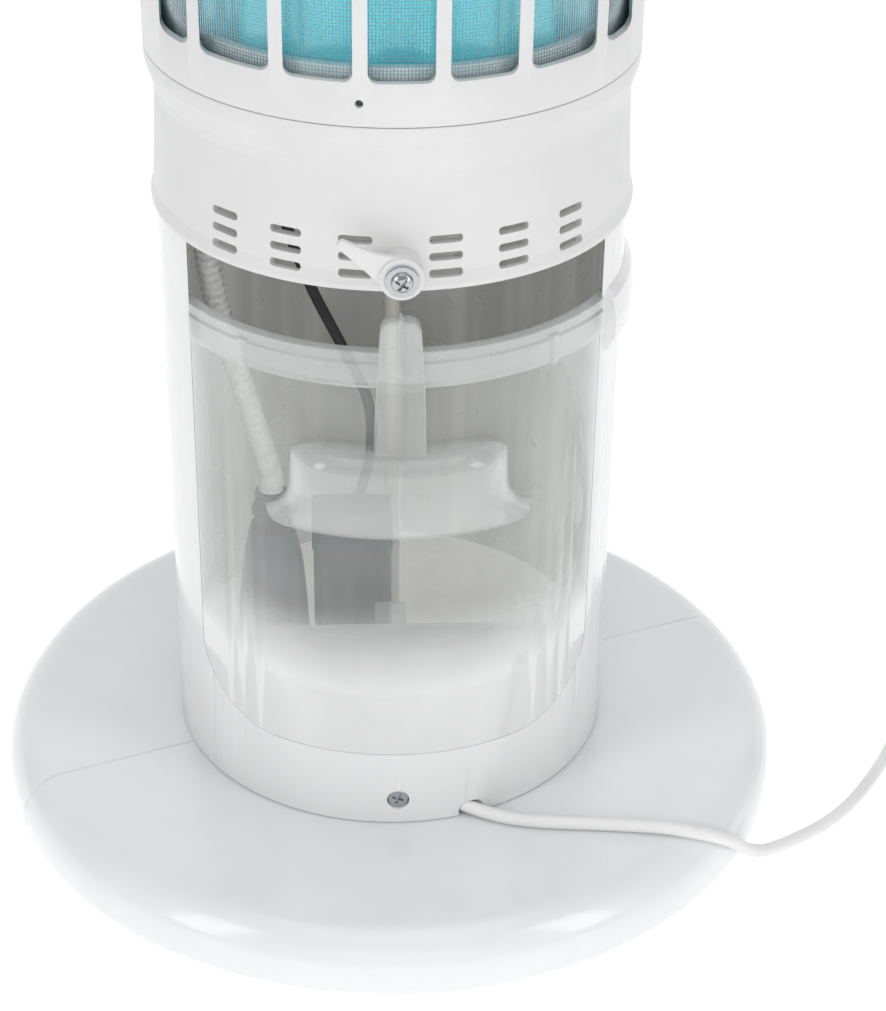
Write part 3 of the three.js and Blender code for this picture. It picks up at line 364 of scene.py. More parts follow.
def turned(made, degrees, axis="Z", about=(0, 0, 0)):
    centre = Vector(about) * MM
    made.data.transform(Matrix.Translation(centre) @ Matrix.Rotation(math.radians(degrees), 4, axis)
                        @ Matrix.Translation(-centre))
    return made


def moved(made, x=0.0, y=0.0, z=0.0):
    made.data.transform(Matrix.Translation(Vector((x, y, z)) * MM))
    return made


def settle(made):
    """Applies the object's modifiers to its mesh."""
    graph = bpy.context.evaluated_depsgraph_get()
    mesh = bpy.data.meshes.new_from_object(made.evaluated_get(graph))
    made.modifiers.clear()
    old, made.data = made.data, mesh
    bpy.data.meshes.remove(old)
    return made


def merged(tools):
    """One object out of several that don't touch."""
    work = bmesh.new()
    for tool in tools:
        work.from_mesh(tool.data)
    work.to_mesh(tools[0].data)
    work.free()
    for tool in tools[1:]:
        bpy.data.objects.remove(tool)
    return tools[0]


def combine(target, operation, *tools):
    for tool in tools:
        change = target.modifiers.new("change", "BOOLEAN")
        change.operation, change.solver, change.object = operation, "EXACT", tool
        settle(target)
        bpy.data.objects.remove(tool)
    return target


def join(target, *tools):
    return combine(target, "UNION", *tools)


def carve(target, *tools):
    return combine(target, "DIFFERENCE", *tools)


def overlap(target, *tools):
    return combine(target, "INTERSECT", *tools)


def soften(made, width, segments=3, angle=35):
    change = made.modifiers.new("edge", "BEVEL")
    change.width = width * MM
    change.segments = segments
    change.limit_method = "ANGLE"
    change.angle_limit = math.radians(angle)
    change.use_clamp_overlap = True
    return settle(made)


def piece(made, name, body, slot, replaced, look=None, angle=32):
    """Names the piece, gives it its material and body, and hides the CAD nodes that it stands for."""
    made.name = made.data.name = name
    made.data.shade_smooth()
    made.data.set_sharp_from_angle(angle=math.radians(angle))
    made.data.materials.clear()
    made.data.materials.append(MAT[look or slot])
    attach(made, body)
    if replaced:
        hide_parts(*replaced)
    return made


# ---------------------------------------------------------------- mains cord
CORD_R = 2.75
RUN = [
    (-3.0, -69.0, 38.6), (9.0, -75.6, 37.0), (21.4, -82.0, 34.9), (33.0, -88.0, 33.5),
    (44.0, -92.6, 33.0), (56.4, -95.6, 32.95), (71.0, -97.2, 32.95), (84.0, -98.4, 32.95),
    (98.0, -100.2, 33.1), (110.5, -102.6, 33.5), (121.0, -103.4, 31.6), (130.0, -101.4, 27.6),
    (138.2, -97.2, 21.2), (145.2, -91.4, 12.6), (153.0, -85.2, 6.2), (161.6, -79.4, 3.5),
    (170.8, -73.6, 2.95), (180.8, -67.0, 2.95), (190.6, -58.6, 2.95), (200.6, -47.2, 2.95),
    (211.0, -32.4, 2.95), (220.0, -17.6, 2.95), (227.0, -3.6, 2.95), (232.6, 9.6, 3.1),
    (236.6, 22.0, 3.6),
]
TAIL = [
    (281.0, 75.4, 11.5), (292.0, 77.0, 8.2), (304.0, 77.3, 5.0), (316.0, 77.0, 3.3), (328.0, 73.8, 3.4),
    (336.8, 65.0, 5.0), (339.7, 57.6, 6.7), (340.0, 53.6, 7.2), (340.0, 50.2, 7.2),
]
COIL_AT = Vector((282.0, 30.0))
COIL_START = 150.0                 # degrees, where the lead joins the outermost turn
OUTER_TURN = 38.5
TURN_RADII = [OUTER_TURN, 33.0, 27.5, 27.5, 33.0, OUTER_TURN]
LAYER_Z = [4.05, 9.55, 15.05]
UNWIND = 59                        # degrees over which the lead leaves the last turn
COIL_END = 6 * 360 + UNWIND
TIE_X = 315.0                      # side of the coil that the tie goes round
PLUG_AT = (340.0, 49.6)
PIN_Z = 7.2


def ease(t):
    t = min(1.0, max(0.0, t))
    return t * t * (3 - 2 * t)


def coil_point(wound):
    """Centreline of the winding after that many degrees, clockwise seen from above."""
    turn_number, within = divmod(wound, 360.0)
    index = int(turn_number)
    if index < 6:
        here = TURN_RADII[index]
        after = TURN_RADII[min(index + 1, 5)]
        radius = here + (after - here) * ease((within - 270) / 90)
    else:
        radius = OUTER_TURN + 6.9 * ease(within / UNWIND)
    climbs = ease((wound - 900) / 90) + ease((wound - 1980) / 90)
    z = LAYER_Z[0] + 5.5 * climbs - 3.55 * ease((within - 20) / 39) * (index == 6)
    angle = math.radians(COIL_START - wound)
    return (COIL_AT.x + radius * math.cos(angle), COIL_AT.y + radius * math.sin(angle), z)


winding = [coil_point(w) for w in range(12, COIL_END - 5, 12)]
route = smooth_path(RUN + winding + TAIL, 4.0)
curve = bpy.data.curves.new("mains_cord", "CURVE")
curve.dimensions = "3D"
curve.bevel_depth = CORD_R * MM
curve.bevel_resolution = 6
curve.use_fill_caps = True
spline = curve.splines.new("POLY")
spline.points.add(len(route) - 1)
for spot, point in zip(spline.points, route):
    spot.co = (*(point * MM), 1.0)
spline.use_smooth = True
curve.materials.append(MAT["cord_white"])
mains_cord = bpy.data.objects.new("mains_cord", curve)
bpy.context.scene.collection.objects.link(mains_cord)
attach(mains_cord, "stand")
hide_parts("cord_run", "cord_coil", "cord_tail")

# Tapered strain relief with rings, seated on the inside of the wall.
relief_outline = [(3.0, 0), (6.2, 0), (6.2, 3), (5.3, 3.9)]
for ring_number in range(5):
    z = 5.0 + 3.5 * ring_number
    r = 5.2 - 0.33 * ring_number
    relief_outline += [(r, z), (r, z + 2.1), (r - 0.7, z + 2.5), (r - 0.75, z + 3.2)]
relief_outline += [(3.0, 22.2)]
relief = revolve("relief", fillet(relief_outline, 0.25, 2), 40)
heading = (Vector(RUN[2]) - Vector(RUN[0])).normalized()
relief.data.transform(Matrix.Translation(Vector(RUN[0]) * MM)
                      @ Vector((0, 0, 1)).rotation_difference(heading).to_matrix().to_4x4())
piece(relief, "cord_relief_ringed", "stand", "cord_white", ["cord_relief"])

# Twisted wire tie round the coil, with its two ends.
tie_outline = rounded_rect(-9.0, -8.6, 9.0, 8.6, 2.6)
tie_path = [Vector((x + TIE_X, COIL_AT.y + 1.2 * math.sin(TAU * k / len(tie_outline)), z + LAYER_Z[1]))
            for k, (x, z) in enumerate(tie_outline)]
tie_path.append(tie_path[0])
tie = sweep("tie", tie_path, lambda s: 0.62, 10)
twist = []
for strand in (0, math.pi):
    spiral = [Vector((TIE_X - 4 - t * 9, COIL_AT.y + 0.75 * math.cos(t * 11 + strand),
                      19.3 + 0.75 * math.sin(t * 11 + strand))) for t in (k / 40 for k in range(41))]
    twist.append(sweep("twist", spiral, lambda s: 0.6, 8))
tie = merged([tie, *twist])
piece(tie, "coil_wire_tie", "stand", "black", ["coil_tie"])


def build_plug():
    half = [(4.4, 0), (5.6, -13)] + arc(17.5, -15.5, 12, 168, 215, 6) + [(14.6, -24.5), (17.6, -30), (17.6, -44)]
    outline = fillet(half + [(-x, y) for x, y in reversed(half)], 2.0, 4)
    body = prism("plug", outline, 0.3, 14.1)
    soften(body, 2.6, 5, 50)
    grips = [prism("grip", rounded_rect(-20, -20.5 - 3.1 * k, 20, -19.2 - 3.1 * k, 0.6), 12.9, 18) for k in range(5)]
    carve(body, merged(grips))
    pin_x = 9.5
    sockets = [disc("socket", 2.3, -50, -38, 24, (x, PIN_Z), front=True) for x in (-pin_x, pin_x)]
    carve(body, merged(sockets))
    moved(body, *PLUG_AT)
    piece(body, "plug_moulded", "stand", "cord_white", ["plug_body"])
    pins = []
    for label, x in (("left", -pin_x), ("right", pin_x)):
        outline = fillet([(0, -38.4), (2.0, -38.4), (2.0, -62.0), (1.1, -63), (0, -63)], [0, 0, 0.8, 0.5, 0], 4)
        pin = revolve("pin", outline, 28)
        turned(pin, -90, "X")
        moved(pin, PLUG_AT[0] + x, PLUG_AT[1], PIN_Z)
        pins.append(piece(pin, f"plug_pin_{label}_turned", "stand", "zinc", [f"plug_pin_{label}"]))
    return [body, *pins]


plug_pieces = build_plug()

# ---------------------------------------------------------------- stage and light
floor_mat = material("floor", (0.82, 0.82, 0.82), 0.4, tint=0.004, spread=0.02, bump=0.0, specular=0.3)
glow_on(floor_mat, (1, 1, 1), 0.5)
sweep_back = [(-3.0, 0.0), (2.2, 0.0)] + [(2.2 + 1.2 * math.sin(a), 1.2 - 1.2 * math.cos(a))
                                         for a in (math.radians(6 * k) for k in range(1, 16))] + [(3.4, 4.0)]
stage_verts = [(x, y * 1000, z * 1000) for x in (-4000, 4000) for y, z in sweep_back]
n_back = len(sweep_back)
stage = made_object("studio_floor", stage_verts, [(i, i + 1, n_back + i + 1, n_back + i) for i in range(n_back - 1)])
stage.data.shade_smooth()
stage.data.materials.append(floor_mat)
if stage.data.polygons[0].normal.z < 0:
    stage.data.flip_normals()


def soft_box(name, at, aim, width, height, power, colour=(1, 1, 1)):
    lamp = bpy.data.lights.new(name, "AREA")
    lamp.shape, lamp.size, lamp.size_y = "RECTANGLE", width, height
    lamp.energy, lamp.color = power, colour
    holder = bpy.data.objects.new(name, lamp)
    bpy.context.scene.collection.objects.link(holder)
    holder.location = at
    holder.rotation_euler = (Vector(aim) - Vector(at)).to_track_quat("-Z", "Y").to_euler()
    return holder


soft_box("key_left", (-1.5, -1.1, 1.1), (0, 0, 0.2), 0.5, 1.5, 8.2)
soft_box("key_right", (1.4, -1.1, 1.1), (0, 0, 0.2), 0.5, 1.5, 7.8)
soft_box("overhead", (0.0, -0.3, 2.3), (0, 0, 0), 1.6, 1.6, 7.4)
soft_box("front_fill", (0.0, -1.25, 0.62), (0, -0.1, 0.03), 0.9, 0.4, 3.0).visible_glossy = False
world = bpy.data.worlds.new("studio")
bpy.context.scene.world = world
world.use_nodes = True
world.node_tree.nodes["Background"].inputs["Color"].default_value = (0.96, 0.975, 1.0, 1)
world.node_tree.nodes["Background"].inputs["Strength"].default_value = 0.45
bpy.context.scene.view_settings.view_transform = "Standard"


# ---------------------------------------------------------------- disc foot
BASE_R, BASE_TOP, BASE_LOW, SEAM = 167.0, 30.0, 2.5, 21.0


def build_foot():
    shoulder, heel = 17.0, 5.0       # radii of the upper and lower edge
    outline = [(0, BASE_LOW)] + arc(BASE_R - heel, BASE_LOW + heel, heel, -90, 0, 8)
    outline += arc(BASE_R - shoulder, BASE_TOP - shoulder, shoulder, 0, 90, 16) + [(0, BASE_TOP)]
    for name, side in (("base_half_front", -1), ("base_half_rear", 1)):
        half = revolve("half", outline, 288)
        tool = prism("side", [(-200, side * 0.2), (200, side * 0.2), (200, side * 220), (-200, side * 220)], -5, 60)
        overlap(half, turned(tool, SEAM))
        pocket = box("pocket", -62, -30, 0, 62, 30, 6.5)
        carve(half, turned(pocket, SEAM))
        soften(half, 0.35, 2, 60)
        piece(half, f"{name}_round", "stand", "gloss_white", [name], angle=25)


def build_pads():
    for i in range(5):
        angle = math.radians(SEAM + 90 + 72 * i)
        pad = revolve("pad", fillet([(0, 0), (11, 0), (11, 2.2), (0, 2.2)], [0, 0.6, 0.3, 0], 3), 40)
        grooves = [revolve("groove", [(r, -1), (r + 0.8, -1), (r + 0.8, 0.5), (r, 0.5)], 40) for r in (3.5, 6.5)]
        carve(pad, merged(grooves))
        moved(pad, 138 * math.cos(angle), 138 * math.sin(angle))
        piece(pad, f"rubber_pad_{i + 1}_grooved", "stand", "rubber", [f"rubber_pad_{i + 1}"])


# ---------------------------------------------------------------- column
COLUMN_LOW, COLUMN_HIGH, COLUMN_Z0, COLUMN_Z1, WALL = 91.5, 91.6, 30.3, 278.6, 2.4
WINDOW_HALF, WINDOW_Z, CORNER, RIM_Z, BAND_Z, BAND_R = 78.5, 65.0, 30.0, 250.0, 235.0, 95.2
FRONT_SCREW_Z = 42.0


def column_radius(z):
    return COLUMN_LOW + (COLUMN_HIGH - COLUMN_LOW) * (z - COLUMN_Z0) / (COLUMN_Z1 - COLUMN_Z0)


def opening(inset, top):
    half, sill, corner = WINDOW_HALF - inset, WINDOW_Z + inset, CORNER - inset
    return ([(half, top), (-half, top)] + arc(-half + corner, sill + corner, corner, 180, 270, 20)
            + arc(half - corner, sill + corner, corner, -90, 0, 20))


def build_column():
    low, high = column_radius(COLUMN_Z0), column_radius(COLUMN_Z1)
    outline = fillet([(low - 10, COLUMN_Z0), (low, COLUMN_Z0), (high, COLUMN_Z1), (high - WALL, COLUMN_Z1),
                      (low - WALL, COLUMN_Z0 + 3), (low - 10, COLUMN_Z0 + 3)], [0, 0.8, 0.4, 0.4, 1.2, 0], 4)
    shell = revolve("shell", outline, 288)
    carve(shell, prism("window", opening(0, COLUMN_Z1 + 20), -120, -30, front=True))
    boss = disc("boss", 6.5, -89.9, -84, 40, (0, FRONT_SCREW_Z), front=True)
    lug_r = column_radius(250)
    lug_outline = fillet([(lug_r - 1.5, 222), (lug_r, 222), (lug_r + 4.4, 229), (lug_r + 4.4, 238),
                          (lug_r + 3.1, 246), (lug_r, 250), (lug_r - 1.5, 250)], [0, 1, 3, 3, 2, 1, 0], 5)
    lug = revolve("lug", lug_outline, 288)
    wedge = [(0, 0)] + [(140 * math.sin(math.radians(a)), -140 * math.cos(math.radians(a))) for a in (62, 76, 90, 104)]
    overlap(lug, prism("wedge", wedge, 220, 252))
    soften(lug, 1.2, 3, 50)
    join(shell, boss, lug)
    slot = prism("slot", rounded_rect(-3.8, COLUMN_Z0 - 6, 3.8, COLUMN_Z0 + 6.8, 3.5, 8), -26, 12, front=True)
    sink = disc("sink", 4.6, -100, -87.8, 40, (0, FRONT_SCREW_Z), front=True)
    bore = disc("bore", 2, -100, -80, 24, (0, FRONT_SCREW_Z), front=True)
    carve(shell, moved(turned(slot, 64.5), 22, -82.3), sink, bore)
    soften(shell, 0.45, 2, 50)
    piece(shell, "column_moulding", "stand", "milky", ["column_shell"], angle=30)


def cross_screw(name, replaced, head, flange, at, turn_by):
    """Screw seen from the front: head is a (radius, y) outline, with a cross recess cut into it."""
    made = revolve("screw", head, 56)
    turned(made, -90, "X")
    width, length, depth = flange
    arms = []
    for angle in (0, 90):
        arm = prism("arm", fillet([(-length, -width), (length, -width), (length, width), (-length, width)],
                                  width * 0.6, 4), -9, depth, front=True)
        arms.append(turned(arm, angle, "Y"))
    carve(made, *arms)
    soften(made, 0.12, 2, 40)
    turned(made, turn_by, "Y")
    moved(made, *at)
    return piece(made, name, "stand", "zinc", [replaced], angle=28)


# ---------------------------------------------------------------- catch tray
# (z, half width, depth) down the cup pull: sloping top, ridge, upright face, flared lip.
PULL = [(211.0, 27, 0.6), (209.2, 33.5, 4.5), (207, 38, 9), (204.4, 40.4, 11.9), (200, 41.3, 12.8),
        (187.8, 42, 13), (183.2, 43.8, 13), (180, 46.6, 13.1), (177.8, 49.6, 13.4), (176.8, 51, 13.7)]
# Back of the bin behind the tray's front, and the height of its walls.
TRAY_BACK, TRAY_WALL = -43.0, 96.0


def pull_ring(z, half_width, depth, inset, count=72):
    a = half_width - inset
    squareness = 8 + 1.3 * max(0.0, 188.8 - z)
    ring = []
    for i in range(count + 1):
        angle = math.pi * (1 - i / count)
        x = a * math.cos(angle)
        bulge = max(depth - inset, 0) * max(0.0, 1 - abs(math.cos(angle)) ** squareness) ** 0.55
        ring.append((x, -(math.sqrt(column_radius(z) ** 2 - x * x) + bulge), z))
    inner = 0.05 if inset > 0 else 1.2
    for i in range(count - 1, 0, -1):
        x = a * math.cos(math.pi * (1 - i / count))
        ring.append((x, -math.sqrt(column_radius(z) ** 2 - x * x) + inner, z))
    return ring


def build_tray():
    inset = 0.15                     # thin joint line round the tray
    sill = WINDOW_Z + inset
    face_in = column_radius(BAND_Z) - WALL
    facade = fillet([
        (column_radius(sill) - WALL, sill), (column_radius(sill), sill), (column_radius(BAND_Z), BAND_Z),
        (BAND_R, BAND_Z + 0.8), (BAND_R, RIM_Z - 4.4), (BAND_R - 1.1, RIM_Z - 3.9), (BAND_R - 1.1, RIM_Z),
        (face_in + 0.2, RIM_Z)], [0, 0.3, 0.3, 0.5, 0.4, 0.3, 0.6, 0.6], 3)
    tray = revolve("tray", facade, 288)
    overlap(tray, prism("frame", opening(inset, RIM_Z + 1), -120, -40, front=True))
    inner_r = column_radius(sill) - WALL + 0.4
    trough = prism("trough", opening(inset, TRAY_WALL), -120, TRAY_BACK, front=True)
    carve(trough, prism("hollow", opening(inset + 2, TRAY_WALL + 9), -130, TRAY_BACK - 2, front=True))
    overlap(trough, disc("within", inner_r, sill - 1, TRAY_WALL + 1, 288))
    join(tray, trough)
    tab = ([(9.8, 208), (9.0, 236), (7.6, 259)] + arc(2.6, 259, 5, 0, 90, 10)
           + arc(-2.6, 259, 5, 90, 180, 10) + [(-9.0, 236), (-9.8, 208)]
           + arc(-4.8, 208, 5, 180, 270, 8) + arc(4.8, 208, 5, -90, 0, 8))
    plate = prism("tab", tab, -97.4, -90.6, front=True)
    soften(plate, 0.9, 3, 50)
    fin = prism("fin", rounded_rect(-0.9, 177, 0.9, 265.6, 0.85, 5), -98.6, -91.2, front=True)
    soften(fin, 0.3, 2, 50)
    levels = smooth_path([Vector(p) for p in PULL], 0.9)
    cup = loft("cup", [pull_ring(*p, 0) for p in levels])
    inner = [pull_ring(*p, 2) for p in levels if 177.0 < p[0] < 207.2]
    inner.append(pull_ring(175.8, 51, 13.7, 1.8))
    hollow = loft("hollow", inner)
    ribs = []
    for side in (-1, 1):
        rib = prism("rib", rounded_rect(-2, -BAND_R - 0.8, 2, -92, 1.2, 5), BAND_Z + 0.2, RIM_Z - 3)
        ribs.append(turned(rib, side * 37.5))
    join(tray, merged(ribs), plate, cup)
    carve(tray, hollow)
    join(tray, fin)
    soften(tray, 0.25, 2, 55)
    piece(tray, "catch_tray_clear", "tray", "clear", ["catch_tray"], look="tray_clear", angle=30)


def build_cup():
    cup = prism("cup", rounded_rect(-33, -100, 33, -68, 5, 8), 68, 98)
    overlap(cup, disc("front", 87.6, 67, 99, 288))
    soften(cup, 1.2, 3, 50)
    inside = prism("inside", rounded_rect(-31, -100, 31, -70, 3.5, 8), 70, 110)
    overlap(inside, disc("front", 85.6, 69, 120, 288))
    carve(cup, inside)
    soften(cup, 0.35, 2, 60)
    piece(cup, "catch_cup_moulded", "tray", "satin_white", ["catch_cup"])


# ---------------------------------------------------------------- inside the column
def build_interior():
    deck_top = 60.3
    canister_x, canister_y = -50, -20
    profile = smooth_path([Vector(p) for p in [(0, 14.4, 11.5), (2, 15, 12), (14, 15, 12), (34, 14, 11.6),
                                               (52, 12.5, 11), (66, 9.8, 9.6), (70, 8.6, 8.6)]], 1.4)
    rings = []
    for height, a, b in profile:
        ring = []
        for k in range(72):
            angle = TAU * k / 72
            c, s = math.cos(angle), math.sin(angle)
            ring.append((canister_x + a * math.copysign(abs(c) ** 0.6, c),
                         canister_y + b * math.copysign(abs(s) ** 0.6, s), deck_top + height))
        rings.append(ring)
    piece(loft("canister", rings), "lure_canister_moulded", "stand", "blue_grey", ["lure_canister"])

    z = 130.6
    neck = fillet([(0, z), (6.6, z), (6.6, z + 6), (8, z + 6.6), (8, z + 9.4), (6.8, z + 10), (6.6, z + 17),
                   (0, z + 17)], [0, 0.5, 0.4, 0.5, 0.5, 0.4, 0.8, 0], 3)
    collar_neck = revolve("neck", neck, 48)
    teeth = [turned(box("tooth", 7.7, -0.35, z + 5, 9, 0.35, z + 10.5), 15 * k) for k in range(24)]
    carve(collar_neck, merged(teeth))
    moved(collar_neck, canister_x, canister_y)
    piece(collar_neck, "hose_coupling_ribbed", "stand", "dark_blue_grey", ["hose_coupling"])

    hose_path = smooth_path([(-50, -20, 148.2), (-50, -20, 156.2), (-58, -19, 188), (-68, -17, 225),
                             (-73, -15, 255), (-74, -14, 276)], 0.6)
    hose = sweep("hose", hose_path, lambda s: 4.6 + 0.4 * math.cos(TAU * s / 3.2), 28)
    piece(hose, "lure_hose_ribbed", "stand", "ceramic", ["lure_hose"], look="porous", angle=80)

    driver = prism("driver", rounded_rect(-33, -34, -1, 4, 2.5, 6), deck_top, 126)
    ribs = [box("rib", -30 + 4.4 * k, -36, 68, -28.4 + 4.4 * k, -33.2, 118) for k in range(7)]
    carve(driver, merged(ribs))
    soften(driver, 0.3, 2, 50)
    piece(driver, "driver_box_ribbed", "stand", "dark_blue_grey", ["driver_box"])

    lead_path = smooth_path([(-14, -12, 130.6), (-14, -12, 138), (-9, -8, 158), (-10, -4, 180), (-20, -3, 204),
                             (-32, -2, 230), (-41, 0, 255), (-46, 2, 276)], 2.0)
    lead = sweep("lead", lead_path, lambda s: 2.2, 24, flat=0.6)
    piece(lead, "lamp_lead_flat", "stand", "black", ["lamp_lead"], angle=60)

    post = revolve("post", fillet([(0, deck_top), (3.4, deck_top), (3.4, 285), (0, 285)], [0, 0.4, 0.4, 0], 2), 32)
    piece(moved(post, 1, 26), "support_post_round", "stand", "ceramic", ["support_post"])

    liner = revolve("liner", fillet([(84, 60.4), (86, 60.4), (86, 272), (84, 272)], 0.4, 2), 240)
    overlap(liner, box("keep", -95, -8, 0, 95, 95, 300))
    # The liner's grey bands are painted reflections, and its faint glow is painted light.
    piece(liner, "rear_liner_smooth", "stand", "smoke", ["rear_liner"])


# ---------------------------------------------------------------- fan collar and latch
SLOT_AZIMUTHS, SLOT_HEIGHTS = (10.2, 26.6, 43.4), (280.8, 287.2, 293.8)
LATCH_Z, LATCH_FRONT = 284.6, -99.0


def build_collar():
    outline = fillet([
        (91.9, 274.6), (93.6, 274.6), (93.6, 276.6), (92.4, 281), (91.4, 300), (90.6, 319), (91.1, 323),
        (92.6, 328), (93.7, 331.4), (94, 334), (94, 337.6), (88.4, 337.6), (88.4, 279.8), (91.9, 278.9)],
        [0.3, 0.7, 1.0, 1.6, 0, 3, 2, 2, 2, 2, 0.35, 0.4, 0.5, 0.4], 4)
    shell = revolve("collar", outline, 288)
    slots = []
    for azimuth in SLOT_AZIMUTHS:
        for side in (-1, 1):
            for z in SLOT_HEIGHTS:
                shape = rounded_rect(-6.2, z - 1.55, 6.2, z + 1.55, 1.3, 6)
                slots.append(turned(prism("slot", shape, -104, -80, front=True), side * azimuth))
    boss = disc("boss", 7.2, LATCH_FRONT, -90, 64, (0, LATCH_Z), front=True)
    inside = [disc("relief", 88.4, 279.8, 300, 240), disc("tunnel", 91.9, 269.6, 278.9, 240)]
    bore = disc("bore", 2.3, -100, -80, 32, (0, LATCH_Z), front=True)
    carve(shell, merged(slots))
    carve(boss, *inside)
    join(shell, boss)
    carve(shell, bore)
    soften(shell, 0.3, 2, 50)
    piece(shell, "collar_moulded", "stand", "satin_white", ["collar"], angle=30)


def build_latch():
    arm = [(0, 7.4), (5.6, 6.3), (11.5, 5.0), (18, 3.7), (24.5, 2.6)] + arc(24.5, 0.6, 2, 90, -90, 10)[1:]
    arm += [(18, -2.1), (13, -3.1), (9.5, -4.4), (6, -6), (0, -6)]
    plate = prism("arm", arm, 1.4, 4.0, front=True)
    soften(plate, 0.6, 3, 50)
    ring = disc("ring", 8.1, 0, 5.1, 64, (0, 0), front=True)
    soften(ring, 0.7, 3, 50)
    join(plate, ring)
    carve(plate, disc("bore", 2.3, -2, 9, 32, (0, 0), front=True))
    turned(plate, -147, "Y")
    moved(plate, 0, LATCH_FRONT - 5.4, LATCH_Z)
    piece(plate, "latch_lever_moulded", "latch", "satin_white", ["latch_lever"], angle=28)


# ---------------------------------------------------------------- head
# Sideways extent of the windows in one half of the cage, cut straight from front to back.
WINDOWS = [(-84.8, -74.2), (-69.8, -45.6), (-40.7, -16.9), (-11.7, 11.7), (16.9, 40.7), (45.6, 69.8), (74.2, 84.8)]


def build_cage():
    ring = revolve("ring", fillet([
        (85.8, 326), (87.8, 326), (87.8, 337.6), (66, 337.6), (66, 334.6), (85.8, 334.6)],
        [0.3, 0.4, 0.4, 0.3, 0.3, 0.8], 3), 240)
    piece(ring, "cage_ring_smooth", "stand", "satin_white", ["cage_ring"])
    cage = revolve("cage", fillet([(91.2, 337.9), (94, 337.9), (94, 548), (91.2, 548)], 0.35, 2), 304)
    windows = []
    for low, high in WINDOWS:
        shape = rounded_rect(low, 354, high, 530, 3.4, 8)
        windows += [prism("window", shape, -100, -34, front=True), prism("window", shape, 34, 100, front=True)]
    carve(cage, merged(windows))
    carve(cage, turned(disc("hole", 1.5, -100, -85, 24, (0, 346.4), front=True), -9))
    soften(cage, 0.5, 3, 50)
    piece(cage, "cage_moulded", "stand", "satin_white", ["cage"], angle=30)


def ring_outline(r, low, high, fine=0.4):
    return fillet([(r - 2, low), (r + 1, low), (r + 1, high), (r - 2, high)], fine, 2)


def build_grid():
    hem = revolve("hem", ring_outline(86.6, 338.1, 357.6), 240)
    piece(hem, "grid_hem_smooth", "stand", "aqua", ["grid_hem"])
    upper = revolve("upper", ring_outline(88.6, 536.3, 544), 240)
    piece(upper, "grid_upper_ring_smooth", "stand", "ceramic", ["grid_upper_ring"])
    low, high, pitch, wire = 342.0, 536.0, 1.25, 0.13
    verts, faces = [], []
    hoop_r, stay_r, around = 88.1, 88.35, 196
    hoops = int((high - low) / pitch)
    for h in range(hoops):
        z = low + (h + 0.5) * pitch
        start = len(verts)
        for i in range(around):
            c, s = math.cos(TAU * i / around), math.sin(TAU * i / around)
            for k in range(3):
                a = TAU * k / 3
                r = hoop_r + wire * math.cos(a)
                verts.append((r * c, r * s, z + wire * math.sin(a)))
        for i in range(around):
            for k in range(3):
                a, b = start + 3 * i, start + 3 * ((i + 1) % around)
                faces.append((a + k, b + k, b + (k + 1) % 3, a + (k + 1) % 3))
    stays = round(TAU * 88.3 / pitch)
    for i in range(stays):
        angle = TAU * i / stays
        start = len(verts)
        for z in (low, high):
            for k in range(3):
                a = angle + TAU * k / 3
                verts.append((stay_r * math.cos(angle) + wire * math.cos(a),
                              stay_r * math.sin(angle) + wire * math.sin(a), z))
        faces += [(start + k, start + (k + 1) % 3, start + 3 + (k + 1) % 3, start + 3 + k) for k in range(3)]
        faces += [(start + 2, start + 1, start), (start + 3, start + 4, start + 5)]
    mesh = bpy.data.meshes.new("grid")
    mesh.from_pydata([(x * MM, y * MM, z * MM) for x, y, z in verts], [], faces)
    grid = bpy.data.objects.new("grid", mesh)
    bpy.context.scene.collection.objects.link(grid)
    piece(grid, "shock_grid_wires", "stand", "wire", ["shock_grid"], angle=80)


def build_sleeve():
    flutes, fine = 22, 18
    outline = []
    for wall in (0.0, 1.6):
        ring = []
        for k in range(flutes * fine):
            angle = TAU * k / (flutes * fine)
            r = 80 + 1.7 * math.cos(flutes * angle) - wall
            ring.append((r * math.cos(angle), r * math.sin(angle)))
        outline.append(ring)
    count = len(outline[0])
    verts, faces = [], []
    for ring, z in ((0, 337.9), (0, 534), (1, 534), (1, 337.9)):
        verts += [(x, y, z) for x, y in outline[ring]]
    for level in range(4):
        for i in range(count):
            a, b = level * count, ((level + 1) % 4) * count
            j = (i + 1) % count
            faces.append((a + i, a + j, b + j, b + i))
    sleeve = made_object("sleeve", verts, faces)
    # The teal sleeve carries a painted glow from its material.
    piece(sleeve, "lamp_sleeve_fluted", "stand", "teal", ["lamp_sleeve"], angle=50)


def build_lamps():
    for label, side in (("left", -1), ("right", 1)):
        tube = fillet([(0, 352.3), (8.6, 352.3), (8.6, 362), (7.8, 364), (7.8, 516), (8.6, 518), (8.6, 526), (0, 526)],
                      [0, 0.6, 0.6, 0.6, 0.6, 0.6, 0.6, 0], 3)
        lamp = moved(revolve("lamp", tube, 40), side * 30)
        piece(lamp, f"uv_lamp_{label}_tube", "stand", "lamp_glass", [f"uv_lamp_{label}"])


# ---------------------------------------------------------------- cap, button, handle
BUTTON_Y, HANDLE_Z = -44.0, 591.0


